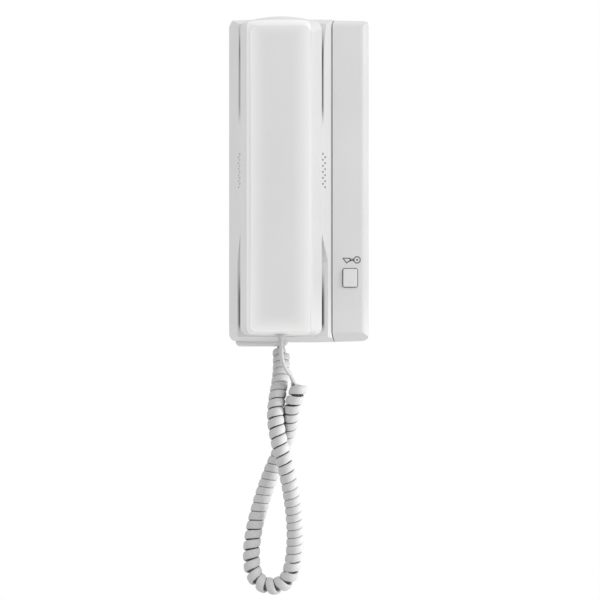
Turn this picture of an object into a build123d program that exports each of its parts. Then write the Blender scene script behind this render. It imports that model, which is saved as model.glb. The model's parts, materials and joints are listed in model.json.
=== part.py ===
from build123d import *
from math import atan2, cos, pi, radians, sin, sqrt, tan
import os

# Wall intercom: a leaning cradle on a wall plate with a handset hung on it, a lower panel
# with a door button at the right, and a curly cord that hangs in a loop below.
# Millimetres. X runs to the right and Z up. A depth is a distance off the wall, toward -Y.
# The origin is the middle of the wall plate's rear face.

os.makedirs("parts", exist_ok=True)

# Fits shared by all pieces
fit_gap = 0.3
slip_gap = 0.15
screw_gap = 0.2
cut_overrun = 1

# Outline of the body on the wall
body_half_width = 48
body_rise = 109.2
body_drop = 109.6
edge_crown = 1.2
body_corner_radius = 5

# Cradle cover: skirt, leaning flanks and the deck that the handset's rim lies on
cover_wall = 2.2
cover_back = 2.3
skirt_depth = 8
deck_depth = 37.7
deck_left = 39.4
deck_right = 15.4
ridge_x = 22.3
seam_back_x = 24.8
seam_wall_back = 10
bevel_depth = 12
ear_end_set = 5.7
ear_end_rise = 104.9
deck_top = 47.5
deck_bottom = 37
well_set = 7.7
well_top = 55.7
well_foot = 3

# Side panel
panel_depth = 26
ridge_set = 0.8
panel_wall = 2
panel_groove = 0.5
panel_shoulder_set = 1.4
panel_shoulder_radius = 5
panel_top = 105.6
panel_foot = 4.6
panel_edge_radius = 3

# Handset
rim_top = 104.3
rim_top_bow = 4.6
rim_foot = 4.7
rim_bottom_bow = 1
rim_top_radius = 6
rim_bottom_radius = 5
handset_wall = 2
handset_depth = 20
front_crown = 1.3
face_left_set = 6.1
face_right_set = 6.3
face_top_set = 3.2
face_foot_set = 1.4
face_top_radius = 6.3
face_bottom_radius = 4.6
front_edge = 1.2
front_edge_width = 1.6
face_wall = 2.8
rear_plate = 2.2
rear_plate_draft = 0.9
cup_wall = 2
cup_nose_gap = 1
cup_half_width = 24.2
cup_draft = 1.4
cup_corner_radius = 6
ear_cup_top = 101.5
ear_cup_bottom = 47
mouth_cup_top = 46
mouth_cup_foot = 2.9

# Pockets in the cradle for the handset's cups
pocket_side_gap = 0.8
ear_pocket_room = 1
mouth_pocket_room = 1.5
finger_room = 6
pocket_floor_depth = 22
pocket_floor = 2
tub_wall = 1.6

# Speaker slots in both flanks
slot_width = 1.2
slot_length = 1.7
slot_gap = 2.84
slot_count = 6
slot_middle = 4.5
lower_slot_drop = 4.1
upper_slot_drop = 1.4

# Wall plate
plate_floor = 2
tray_depth = 8
tray_wall = 1.6
wall_hole_radius = 2.25
wall_hole_rise = 70
cable_hole = 12
cable_hole_left = 28
cable_hole_rise = 68
post_radius = 4
ear_post_rise = 88
mouth_post_foot = 15.6
cord_block_side = 4.5
cord_block_right = 7.5
cord_block_rise = 5.6
cord_block_stand = 4
cord_block_depth = 9.7
cord_block_radius = 3.5
cord_block_edge = 1.2

# Screws of all kinds: shank and head. Shanks and their pilot bores have a few flat sides.
shank_sides = 8
cover_screw_radius = 1.5
cover_screw_head_radius = 3.2
cover_screw_head = 1.5
cover_screw_length = 12
cover_screw_seat = 1.2
board_screw_radius = 1.2
board_screw_head_radius = 2.6
board_screw_head = 1.8
board_screw_length = 4
handset_screw_radius = 1.4
handset_screw_head_radius = 2.8
handset_screw_length = 10
handset_screw_rise = 38
handset_boss_radius = 3.6

# Circuit board and what stands on it
board_depth = 6
board_thickness = 1.6
board_left_side = 8
board_right_side = 6
board_top = 50
board_bottom = 58
tongue_half_width = 8.7
tongue_foot = 25.6
board_screw_inset = 4
standoff_radius = 3
terminal_count = 6
terminal_width = 5.8
terminal_height = 10
terminal_length = 9
terminal_x = 12
terminal_set = 12
terminal_screw_radius = 1.9
terminal_screw_head = 1.2
terminal_wire_hole = 3
terminal_wire_reach = 5
switch_height = 6
hook_switch_width = 12
hook_switch_length = 9
hook_drop = 53
door_switch_width = 8
transformer_width = 15
transformer_length = 17
transformer_height = 11
transformer_x = 5
transformer_drop = 31
capacitor_radius = 4
capacitor_height = 9
capacitor_gap = 2
capacitor_count = 3
capacitor_inset = 9
capacitor_rise = 12
relay_width = 11
relay_length = 16
relay_height = 9
relay_inset = 8
relay_drop = 30
chip_width = 8
chip_length = 14
chip_height = 1.8
chip_x = 10
chip_rise = 8

# Call sounder under the deck
sounder_radius = 17.7
sounder_frame = 4
sounder_magnet_radius = 8
sounder_magnet = 5
sounder_ring_inner = 14.5
sounder_ring_height = 1
sounder_rib_wall = 1.5
sounder_rib_height = 6

# Hook plunger
plunger_radius = 4
plunger_travel = 3
plunger_flange = 1
plunger_flange_radius = 5.6
plunger_stem_radius = 2.5
plunger_edge = 1.4

# Door button
button_foot = 42.9
button_width = 9.7
button_height = 12.3
button_corner_radius = 1.2
button_edge = 0.5
button_gap = 0.5
button_proud = 1.7
button_travel = 1.2
button_flange = 1.2
button_flange_lip = 1
button_stem_radius = 2.5
switch_plunger_radius = 1.75
switch_plunger_length = 3
switch_plunger_gap = 0.3
switch_plunger_proud = 1.4

# What the handset holds
receiver_radius = 18
receiver_height = 7
receiver_rise = 74
receiver_gasket_inner = 14
receiver_gasket_height = 1
receiver_hole_radius = 1.2
receiver_hole_ring_radius = 6
receiver_hole_count = 6
mic_radius = 4.85
mic_height = 5
mic_boot_wall = 1.6
mic_boot_floor = 1
mic_foot = 20
mic_hole_radius = 0.9
mic_hole_gap = 1.2
mic_hole_count = 3
weight_width = 18
weight_length = 52
weight_height = 7
weight_edge = 1

# Cord: boots, curls and tail. Places are X, depth and drop below the body's foot.
boot_radius = 2.5
base_boot_length = 9
base_boot_stand = 1.4
handset_boot_radius = 3.3
handset_boot_flange = 1.4
handset_boot_flange_radius = 4.6
handset_boot_room = 1.2
handset_boot_rise = 1.2
handset_boot_run = 8.1
base_boot_x = -12.4
base_boot_depth = 5.5
cord_side = 3
cord_corners = 3
corner_share = 0.45
coil_radius = 3.8
half_turns = 108
start_phase = 0
coil_route = [
    (-16.2, 9, 11.9), (-15.6, 13.5, 24.4), (-16, 20, 41.4), (-15.9, 25, 55.4),
    (-13.1, 27, 69.9), (-9, 27, 84.4), (-5.4, 25, 100.9), (-2.7, 22, 122.4),
    (-2.6, 19.5, 140.4), (-4.6, 18, 154.7), (-7.3, 17, 162.9), (-14.3, 16, 168),
    (-22.9, 14.5, 168), (-29.9, 13, 162.9), (-32.8, 12, 152.4), (-31.8, 10.5, 134.4),
    (-25.8, 9, 110.9), (-18.5, 8.5, 89.4), (-11, 9, 73.4), (-6.5, 11.5, 60.4),
    (-4.9, 15.5, 50.4), (-3, 21, 40.9), (0, 28, 32.4),
]
tail_route = [(-6.1, 33, 26.6), (-8.9, 38.5, 21.6), (-11.3, 43.6, 14.9)]


def facing(depth):
    """A plane parallel to the wall at a depth: x is X, y is Z, and it extrudes off the wall."""
    return Plane(origin=(0, -depth, 0), x_dir=(1, 0, 0), z_dir=(0, -1, 0))


def level(x, depth, height):
    """A level plane through a place, which extrudes upward."""
    return Plane(origin=(x, -depth, height), x_dir=(1, 0, 0), z_dir=(0, 0, 1))


# Sketch planes across the object: x is X and y is depth, or x is depth and y is Z
plan_plane = Plane(origin=(0, 0, 0), x_dir=(1, 0, 0), z_dir=(0, 0, -1))
side_plane = Plane(origin=(0, 0, 0), x_dir=(0, -1, 0), z_dir=(-1, 0, 0))

body_reach = body_rise + body_drop
handset_x = (deck_right - deck_left) / 2
ear_end_depth = deck_depth - ear_end_set
well_depth = deck_depth - well_set
well_bottom = body_drop - well_foot
ridge_depth = panel_depth - ridge_set
panel_shoulder_x = body_half_width - panel_shoulder_set
panel_bottom = body_drop - panel_foot
rim_depth = deck_depth + fit_gap
rim_bottom = body_drop - rim_foot
plate_face = rim_depth + rear_plate
front_depth = rim_depth + handset_depth
inner_face_depth = front_depth - face_wall
face_left = deck_left - face_left_set
face_right = deck_right - face_right_set
face_top = rim_top - face_top_set
face_bottom = rim_bottom - face_foot_set
cup_nose_depth = pocket_floor_depth + cup_nose_gap
mouth_cup_bottom = rim_bottom - mouth_cup_foot
mic_drop = mouth_cup_bottom - mic_foot
mouth_post_drop = body_drop - mouth_post_foot
cord_block_left = body_half_width - cord_block_side
cord_block_top = body_drop - cord_block_rise
cord_block_bottom = body_drop + cord_block_stand
button_x = (ridge_x + panel_groove + panel_shoulder_x) / 2
button_drop = body_drop - button_foot
board_left = body_half_width - board_left_side
board_right = body_half_width - board_right_side
tongue_left = button_x - tongue_half_width
tongue_bottom = body_drop - tongue_foot
terminal_rise = board_top - terminal_set
pocket_half_width = cup_half_width + pocket_side_gap
pocket_corner_radius = cup_corner_radius + pocket_side_gap
floor_underside = pocket_floor_depth - pocket_floor
board_face = board_depth + board_thickness
slot_spacing = slot_width + slot_gap
capacitor_spacing = 2 * capacitor_radius + capacitor_gap
mic_hole_spacing = 2 * mic_hole_radius + mic_hole_gap
handset_boot_depth = plate_face + handset_boot_flange_radius + handset_boot_room


def body_outline(inset):
    """The body's outline seen from the front, drawn in by inset."""
    with BuildSketch() as outline:
        with BuildLine():
            ThreePointArc(
                (-body_half_width, body_rise),
                (0, body_rise + edge_crown),
                (body_half_width, body_rise),
            )
            Line((body_half_width, body_rise), (body_half_width, -body_drop))
            ThreePointArc(
                (body_half_width, -body_drop),
                (0, -body_drop - edge_crown),
                (-body_half_width, -body_drop),
            )
            Line((-body_half_width, -body_drop), (-body_half_width, body_rise))
        make_face()
        fillet(outline.vertices(), radius=body_corner_radius)
        offset(amount=-inset)
    return outline.sketch


def seam_x(depth):
    """Where the cradle's right-hand seam wall stands at a depth."""
    share = (ridge_depth - depth) / (ridge_depth - cover_back)
    return ridge_x + share * (seam_back_x - ridge_x)


def cradle_form(inset):
    """The cradle as a solid wedge, drawn in by inset and run out past the wall by as much."""
    back = cover_back - 2 * inset
    with BuildSketch() as plan:
        with BuildLine():
            Polyline(
                (-body_half_width, back),
                (-body_half_width, skirt_depth),
                (-deck_left, deck_depth),
                (deck_right, deck_depth),
                (ridge_x, ridge_depth),
                (seam_x(back), back),
                close=True,
            )
        make_face()
        offset(amount=-inset)
    with BuildSketch() as side:
        with BuildLine():
            Polyline(
                (ear_end_depth, ear_end_rise),
                (bevel_depth, body_rise + edge_crown),
                (back, body_rise + edge_crown),
                (back, -body_drop - edge_crown),
                (skirt_depth, -body_drop - edge_crown),
                (well_depth, -well_bottom),
                (well_depth, -well_top),
                (deck_depth, -deck_bottom),
                (deck_depth, deck_top),
            )
            TangentArc((deck_depth, deck_top), (ear_end_depth, ear_end_rise), tangent=(0, 1))
        make_face()
        offset(amount=-inset)
    with BuildPart() as form:
        with BuildSketch(plan_plane):
            add(plan.sketch)
        extrude(amount=body_reach, both=True)
        with BuildSketch(side_plane):
            add(side.sketch)
        extrude(amount=body_reach, both=True, mode=Mode.INTERSECT)
        with BuildSketch(facing(back)):
            add(body_outline(inset))
        extrude(amount=body_reach, mode=Mode.INTERSECT)
    return form.part


def panel_form(inset):
    """The side panel as a solid block, drawn in by inset and run out past the wall by as much."""
    back = cover_back - 2 * inset
    with BuildSketch() as plan:
        with BuildLine():
            Polyline(
                (seam_x(back) + panel_groove, back),
                (seam_x(panel_depth) + panel_groove, panel_depth),
                (panel_shoulder_x, panel_depth),
                (body_half_width, skirt_depth),
                (body_half_width, back),
                close=True,
            )
        make_face()
        fillet(plan.vertices().group_by(Axis.Y)[-1].sort_by(Axis.X)[-1], radius=panel_shoulder_radius)
        offset(amount=-inset)
    with BuildSketch() as side:
        with BuildLine():
            Polyline(
                (back, body_rise + edge_crown),
                (skirt_depth, body_rise + edge_crown),
                (panel_depth, panel_top),
                (panel_depth, -panel_bottom),
                (skirt_depth, -body_drop - edge_crown),
                (back, -body_drop - edge_crown),
                close=True,
            )
        make_face()
        fillet(side.vertices().group_by(Axis.X)[-1], radius=panel_edge_radius)
        offset(amount=-inset)
    with BuildPart() as form:
        with BuildSketch(plan_plane):
            add(plan.sketch)
        extrude(amount=body_reach, both=True)
        with BuildSketch(side_plane):
            add(side.sketch)
        extrude(amount=body_reach, both=True, mode=Mode.INTERSECT)
        with BuildSketch(facing(back)):
            add(body_outline(inset))
        extrude(amount=body_reach, mode=Mode.INTERSECT)
    return form.part


def pocket_outline(bottom, top, grow):
    """The mouth of a cup's pocket between two heights, grown by grow all round."""
    with BuildSketch() as outline:
        with Locations((handset_x, (bottom + top) / 2)):
            RectangleRounded(
                2 * (pocket_half_width + grow), top - bottom + 2 * grow, pocket_corner_radius + grow
            )
    return outline.sketch


def cup_outline(bottom, top, inset):
    """A handset cup's section between two heights, drawn in by inset."""
    with BuildSketch() as outline:
        with Locations((handset_x, (bottom + top) / 2)):
            RectangleRounded(
                2 * (cup_half_width - inset), top - bottom - 2 * inset, cup_corner_radius - inset / 2
            )
    return outline.sketch


# Pockets as (bottom, top) heights
ear_pocket = (ear_cup_bottom - fit_gap, ear_cup_top + ear_pocket_room)
mouth_pocket = (-mouth_cup_bottom - mouth_pocket_room, -mouth_cup_top + finger_room)
pockets = [ear_pocket, mouth_pocket]
cover_screw_places = [(handset_x, ear_post_rise), (handset_x, -mouth_post_drop)]

# Cradle cover
cradle_solid = cradle_form(0)
cradle_space = cradle_form(cover_wall)
with BuildPart() as pocket_tubs:
    for bottom, top in pockets:
        with BuildSketch(facing(floor_underside)):
            add(pocket_outline(bottom, top, tub_wall))
        extrude(amount=deck_depth)
    add(cradle_solid, mode=Mode.INTERSECT)

left_lean = atan2(body_half_width - deck_left, deck_depth - skirt_depth)
right_lean = atan2(ridge_x - deck_right, deck_depth - ridge_depth)


def flank_planes(drop, shift):
    """A plane on each flank, drop below the deck's edge and shift up, with x up and y to the wall."""
    left_x = -deck_left - drop * tan(left_lean)
    right_x = deck_right + drop * tan(right_lean)
    return [
        Plane(
            origin=(left_x, drop - deck_depth, slot_middle + shift),
            x_dir=(0, 0, 1),
            z_dir=(-cos(left_lean), -sin(left_lean), 0),
        ),
        Plane(
            origin=(right_x, drop - deck_depth, slot_middle + shift),
            x_dir=(0, 0, 1),
            z_dir=(cos(right_lean), -sin(right_lean), 0),
        ),
    ]


with BuildPart() as cradle_cover:
    add(cradle_solid)
    add(cradle_space, mode=Mode.SUBTRACT)
    add(pocket_tubs.part)
    # pockets
    for bottom, top in pockets:
        with BuildSketch(facing(pocket_floor_depth)):
            add(pocket_outline(bottom, top, 0))
        extrude(amount=deck_depth, mode=Mode.SUBTRACT)
    # ring rib that holds the sounder
    with BuildSketch(facing(deck_depth - cover_wall)):
        with Locations((handset_x, slot_middle)):
            Circle(sounder_radius + slip_gap + sounder_rib_wall)
            Circle(sounder_radius + slip_gap, mode=Mode.SUBTRACT)
    extrude(amount=-sounder_rib_height)
    # speaker slots
    for plane in flank_planes(lower_slot_drop, 0) + flank_planes(upper_slot_drop, slot_spacing / 2):
        with BuildSketch(plane):
            with GridLocations(slot_spacing, slot_length, slot_count, 1):
                Rectangle(slot_width, slot_length)
        extrude(amount=cover_wall + cut_overrun, both=True, mode=Mode.SUBTRACT)
    # cover screws through the pocket floors
    with BuildSketch(facing(floor_underside - cut_overrun)):
        with Locations(*cover_screw_places):
            Circle(cover_screw_radius + screw_gap)
    extrude(amount=pocket_floor + 2 * cut_overrun, mode=Mode.SUBTRACT)
    with BuildSketch(facing(pocket_floor_depth - cover_screw_seat)):
        with Locations(*cover_screw_places):
            Circle(cover_screw_head_radius + screw_gap)
    extrude(amount=cover_screw_seat + cut_overrun, mode=Mode.SUBTRACT)
    # hole of the hook plunger
    with BuildSketch(facing(floor_underside - cut_overrun)):
        with Locations((handset_x, -hook_drop)):
            Circle(plunger_radius + fit_gap)
    extrude(amount=pocket_floor + 2 * cut_overrun, mode=Mode.SUBTRACT)
    # the seam wall stops short of the plate, so that the board can pass under it
    with BuildSketch(facing(cover_back - cut_overrun)):
        add(body_outline(cover_wall))
        with Locations((seam_back_x, 0)):
            Rectangle(4 * cover_wall, 2 * body_reach, mode=Mode.INTERSECT)
    extrude(amount=seam_wall_back + cut_overrun - cover_back, mode=Mode.SUBTRACT)
    # notch for the cord block in the lower wall
    with BuildSketch(facing(cover_back - cut_overrun)):
        with Locations((-(cord_block_left + cord_block_right) / 2, -cord_block_bottom)):
            Rectangle(
                cord_block_left - cord_block_right + 2 * fit_gap,
                2 * (cord_block_bottom - cord_block_top + fit_gap),
            )
    extrude(amount=cord_block_depth + fit_gap + cut_overrun - cover_back, mode=Mode.SUBTRACT)
cradle_cover.part.label = "cradle_cover"
export_step(cradle_cover.part, "parts/cradle_cover.step")

# Side panel
with BuildPart() as side_panel:
    add(panel_form(0))
    add(panel_form(panel_wall), mode=Mode.SUBTRACT)
    with BuildSketch(facing(cover_back - cut_overrun)):
        add(body_outline(panel_wall))
        with Locations((seam_back_x, 0)):
            Rectangle(4 * cover_wall, 2 * body_reach, mode=Mode.INTERSECT)
    extrude(amount=seam_wall_back + cut_overrun - cover_back, mode=Mode.SUBTRACT)
    with BuildSketch(facing(panel_depth - panel_wall - cut_overrun)):
        with Locations((button_x, -button_drop)):
            RectangleRounded(
                button_width + 2 * button_gap,
                button_height + 2 * button_gap,
                button_corner_radius + button_gap,
            )
    extrude(amount=panel_wall + 2 * cut_overrun, mode=Mode.SUBTRACT)
side_panel.part.label = "side_panel"
export_step(side_panel.part, "parts/side_panel.step")

# Wall plate: a shallow tray inside both covers, with posts, standoffs and the cord block
plate_inset = cover_wall + fit_gap
standoff_places = [
    (-board_left + board_screw_inset, board_top - board_screw_inset),
    (board_right - board_screw_inset, board_top - board_screw_inset),
    (-board_left + board_screw_inset, -board_bottom + board_screw_inset),
    (board_right - board_screw_inset, -tongue_bottom + board_screw_inset),
]
with BuildPart() as wall_plate:
    with BuildSketch(facing(0)):
        add(body_outline(plate_inset))
    extrude(amount=tray_depth)
    with BuildSketch(facing(plate_floor)):
        add(body_outline(plate_inset + tray_wall))
    extrude(amount=tray_depth, mode=Mode.SUBTRACT)
    with BuildSketch(facing(0)) as block:
        with Locations(
            (
                -(cord_block_left + cord_block_right) / 2,
                -(cord_block_top + cord_block_bottom) / 2,
            )
        ):
            Rectangle(cord_block_left - cord_block_right, cord_block_bottom - cord_block_top)
        fillet(block.vertices().group_by(Axis.Y)[0], radius=cord_block_radius)
    extrude(amount=cord_block_depth)
    chamfer(faces().sort_by(Axis.Z)[0].edges().sort_by(Axis.Y)[0], length=cord_block_edge)
    with BuildSketch(facing(0)):
        with Locations(*cover_screw_places):
            Circle(post_radius)
    extrude(amount=floor_underside - fit_gap)
    with BuildSketch(facing(0)):
        with Locations(*standoff_places):
            Circle(standoff_radius)
    extrude(amount=board_depth)
    # pilot bores for the screws
    with BuildSketch(facing(pocket_floor_depth - cover_screw_seat - cover_screw_length - fit_gap)):
        with Locations(*cover_screw_places):
            RegularPolygon(cover_screw_radius, shank_sides)
    extrude(amount=floor_underside, mode=Mode.SUBTRACT)
    with BuildSketch(facing(board_face - board_screw_length - fit_gap)):
        with Locations(*standoff_places):
            RegularPolygon(board_screw_radius, shank_sides)
    extrude(amount=board_depth, mode=Mode.SUBTRACT)
    # wall screw holes and the hole for the house cable
    with BuildSketch(facing(-cut_overrun)):
        with Locations((0, wall_hole_rise), (0, -wall_hole_rise)):
            Circle(wall_hole_radius)
        with Locations((-cable_hole_left, cable_hole_rise)):
            Rectangle(cable_hole, cable_hole)
    extrude(amount=plate_floor + 2 * cut_overrun, mode=Mode.SUBTRACT)
    # bore of the cord boot
    with BuildSketch(level(base_boot_x, base_boot_depth, -cord_block_bottom)):
        Circle(boot_radius + slip_gap)
    extrude(amount=2 * (cord_block_bottom - cord_block_top), both=True, mode=Mode.SUBTRACT)
wall_plate.part.label = "wall_plate"
export_step(wall_plate.part, "parts/wall_plate.step")


# Circuit board, with a tongue behind the door button
with BuildPart() as circuit_board:
    with BuildSketch(facing(board_depth)):
        with BuildLine():
            Polyline(
                (-board_left, board_top),
                (board_right, board_top),
                (board_right, -tongue_bottom),
                (tongue_left, -tongue_bottom),
                (tongue_left, -board_bottom),
                (-board_left, -board_bottom),
                close=True,
            )
        make_face()
        with Locations(*standoff_places):
            Circle(board_screw_radius + screw_gap, mode=Mode.SUBTRACT)
    extrude(amount=board_thickness)
circuit_board.part.label = "circuit_board"
export_step(circuit_board.part, "parts/circuit_board.step")

with BuildPart() as board_screws:
    with BuildSketch(facing(board_face)):
        with Locations(*standoff_places):
            Circle(board_screw_head_radius)
    extrude(amount=board_screw_head)
    with BuildSketch(facing(board_face)):
        with Locations(*standoff_places):
            RegularPolygon(board_screw_radius - slip_gap, shank_sides)
    extrude(amount=-board_screw_length)
board_screws.part.label = "board_screws"
export_step(board_screws.part, "parts/board_screws.step")

# Transformer, relay, capacitors and chip, each standing on the board
with BuildPart() as board_components:
    with BuildSketch(facing(board_face)):
        with Locations((transformer_x, -transformer_drop)):
            Rectangle(transformer_width, transformer_length)
    extrude(amount=transformer_height)
    with BuildSketch(facing(board_face)):
        with Locations((relay_inset - board_left, -relay_drop)):
            Rectangle(relay_width, relay_length)
    extrude(amount=relay_height)
    with BuildSketch(facing(board_face)):
        with Locations((capacitor_inset - board_left, capacitor_rise)):
            with GridLocations(capacitor_spacing, capacitor_spacing, 1, capacitor_count):
                Circle(capacitor_radius)
    extrude(amount=capacitor_height)
    with BuildSketch(facing(board_face)):
        with Locations((chip_x, chip_rise)):
            Rectangle(chip_width, chip_length)
    extrude(amount=chip_height)
board_components.part.label = "board_components"
export_step(board_components.part, "parts/board_components.step")

# Terminal block: a screw over each wire hole
terminal_face = board_face + terminal_height
with BuildPart() as terminal_block:
    with BuildSketch(facing(board_face)):
        with Locations((-terminal_x, terminal_rise)):
            Rectangle(terminal_count * terminal_width, terminal_length)
    extrude(amount=terminal_height)
    with BuildSketch(facing(terminal_face - terminal_screw_head)):
        with Locations((-terminal_x, terminal_rise)):
            with GridLocations(terminal_width, terminal_width, terminal_count, 1):
                RegularPolygon(terminal_screw_radius + slip_gap, shank_sides)
    extrude(amount=terminal_screw_head, mode=Mode.SUBTRACT)
    wire_plane = Plane(
        origin=(-terminal_x, -board_face - terminal_wire_hole, terminal_rise + terminal_length / 2)
    )
    with BuildSketch(wire_plane):
        with GridLocations(terminal_width, terminal_width, terminal_count, 1):
            Rectangle(terminal_wire_hole, terminal_wire_hole)
    extrude(amount=-terminal_wire_reach, mode=Mode.SUBTRACT)
terminal_block.part.label = "terminal_block"
export_step(terminal_block.part, "parts/terminal_block.step")

with BuildPart() as terminal_screws:
    with BuildSketch(facing(terminal_face - terminal_screw_head)):
        with Locations((-terminal_x, terminal_rise)):
            with GridLocations(terminal_width, terminal_width, terminal_count, 1):
                RegularPolygon(terminal_screw_radius, shank_sides)
    extrude(amount=terminal_screw_head)
    with BuildSketch(facing(terminal_face - terminal_screw_head / 2)):
        with Locations((-terminal_x, terminal_rise)):
            with GridLocations(terminal_width, terminal_width, terminal_count, 1):
                Rectangle(2 * terminal_screw_radius, terminal_screw_radius / 3)
    extrude(amount=terminal_screw_head, mode=Mode.SUBTRACT)
terminal_screws.part.label = "terminal_screws"
export_step(terminal_screws.part, "parts/terminal_screws.step")

# Hook switch under its plunger, and door switch with the bore that its plunger enters
with BuildPart() as hook_switch:
    with BuildSketch(facing(board_face)):
        with Locations((handset_x, -hook_drop)):
            Rectangle(hook_switch_width, hook_switch_length)
    extrude(amount=switch_height)
hook_switch.part.label = "hook_switch"
export_step(hook_switch.part, "parts/hook_switch.step")

switch_face = board_face + switch_height
with BuildPart() as door_switch:
    with BuildSketch(facing(board_face)):
        with Locations((button_x, -button_drop)):
            Rectangle(door_switch_width, door_switch_width)
    extrude(amount=switch_height)
    bore_depth = switch_plunger_length - switch_plunger_proud + button_travel + switch_plunger_gap
    with BuildSketch(facing(switch_face - bore_depth)):
        with Locations((button_x, -button_drop)):
            Circle(switch_plunger_radius + switch_plunger_gap)
    extrude(amount=switch_height, mode=Mode.SUBTRACT)
door_switch.part.label = "door_switch"
export_step(door_switch.part, "parts/door_switch.step")

# Sounder in the deck's ring rib, its gasket against the deck
deck_underside = deck_depth - cover_wall
with BuildPart() as sounder_ring:
    with BuildSketch(facing(deck_underside)):
        with Locations((handset_x, slot_middle)):
            Circle(sounder_radius)
            Circle(sounder_ring_inner, mode=Mode.SUBTRACT)
    extrude(amount=-sounder_ring_height)
sounder_ring.part.label = "sounder_ring"
export_step(sounder_ring.part, "parts/sounder_ring.step")

with BuildPart() as sounder:
    with BuildSketch(facing(deck_underside - sounder_ring_height)):
        with Locations((handset_x, slot_middle)):
            Circle(sounder_radius)
    extrude(amount=-sounder_frame)
    with BuildSketch(facing(deck_underside - sounder_ring_height - sounder_frame)):
        with Locations((handset_x, slot_middle)):
            Circle(sounder_magnet_radius)
    extrude(amount=-sounder_magnet)
sounder.part.label = "sounder"
export_step(sounder.part, "parts/sounder.step")

# Cover screws from the pocket floors into the plate's posts
with BuildPart() as cover_screws:
    with BuildSketch(facing(pocket_floor_depth - cover_screw_seat)):
        with Locations(*cover_screw_places):
            Circle(cover_screw_head_radius)
    extrude(amount=cover_screw_head)
    with BuildSketch(facing(pocket_floor_depth - cover_screw_seat)):
        with Locations(*cover_screw_places):
            RegularPolygon(cover_screw_radius - slip_gap, shank_sides)
    extrude(amount=-cover_screw_length)
cover_screws.part.label = "cover_screws"
export_step(cover_screws.part, "parts/cover_screws.step")

# Hook plunger, held down by the hung handset: dome, flange under the floor, and stem
plunger_top = cup_nose_depth - fit_gap
plunger_stop = floor_underside - fit_gap - plunger_travel
with BuildPart() as hook_plunger:
    with BuildSketch(facing(plunger_stop)):
        with Locations((handset_x, -hook_drop)):
            Circle(plunger_radius)
    extrude(amount=plunger_top - plunger_stop)
    chamfer(faces().sort_by(Axis.Y)[0].edges(), length=plunger_edge)
    with BuildSketch(facing(plunger_stop)):
        with Locations((handset_x, -hook_drop)):
            Circle(plunger_flange_radius)
    extrude(amount=-plunger_flange)
    with BuildSketch(facing(plunger_stop - plunger_flange)):
        with Locations((handset_x, -hook_drop)):
            Circle(plunger_stem_radius)
    extrude(amount=-(plunger_stop - plunger_flange - switch_face - fit_gap))
hook_plunger.part.label = "hook_plunger"
export_step(hook_plunger.part, "parts/hook_plunger.step")

# Door button: cap, flange behind the panel, stem, and the switch's plunger under it
button_stop = panel_depth - panel_wall - fit_gap
with BuildPart() as door_button:
    with BuildSketch(facing(button_stop)):
        with Locations((button_x, -button_drop)):
            RectangleRounded(button_width, button_height, button_corner_radius)
    extrude(amount=panel_depth + button_proud - button_stop)
    chamfer(faces().sort_by(Axis.Y)[0].edges(), length=button_edge)
    with BuildSketch(facing(button_stop)):
        with Locations((button_x, -button_drop)):
            Rectangle(button_width, button_height + 2 * (button_gap + button_flange_lip))
    extrude(amount=-button_flange)
    with BuildSketch(facing(button_stop - button_flange)):
        with Locations((button_x, -button_drop)):
            Circle(button_stem_radius)
    extrude(amount=-(button_stop - button_flange - switch_face - switch_plunger_proud))
door_button.part.label = "door_button"
export_step(door_button.part, "parts/door_button.step")

with BuildPart() as door_switch_plunger:
    with BuildSketch(facing(switch_face + switch_plunger_proud)):
        with Locations((button_x, -button_drop)):
            Circle(switch_plunger_radius)
    extrude(amount=-switch_plunger_length)
door_switch_plunger.part.label = "door_switch_plunger"
export_step(door_switch_plunger.part, "parts/door_switch_plunger.step")


def handset_rim(inset):
    """The handset's widest outline, where its two shells meet, drawn in by inset."""
    with BuildSketch() as outline:
        with BuildLine():
            ThreePointArc(
                (-deck_left, rim_top), (handset_x, rim_top + rim_top_bow), (deck_right, rim_top)
            )
            Line((deck_right, rim_top), (deck_right, -rim_bottom))
            ThreePointArc(
                (deck_right, -rim_bottom),
                (handset_x, -rim_bottom - rim_bottom_bow),
                (-deck_left, -rim_bottom),
            )
            Line((-deck_left, -rim_bottom), (-deck_left, rim_top))
        make_face()
        fillet(outline.vertices().group_by(Axis.Y)[-1], radius=rim_top_radius)
        fillet(outline.vertices().group_by(Axis.Y)[0], radius=rim_bottom_radius)
        offset(amount=-inset)
    return outline.sketch


def handset_face(inset):
    """The outline of the handset's front face, drawn in by inset."""
    with BuildSketch() as outline:
        with Locations(((face_right - face_left) / 2, (face_top - face_bottom) / 2)):
            Rectangle(face_left + face_right, face_top + face_bottom)
        fillet(outline.vertices().group_by(Axis.Y)[-1], radius=face_top_radius)
        fillet(outline.vertices().group_by(Axis.Y)[0], radius=face_bottom_radius)
        offset(amount=-inset)
    return outline.sketch


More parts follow.
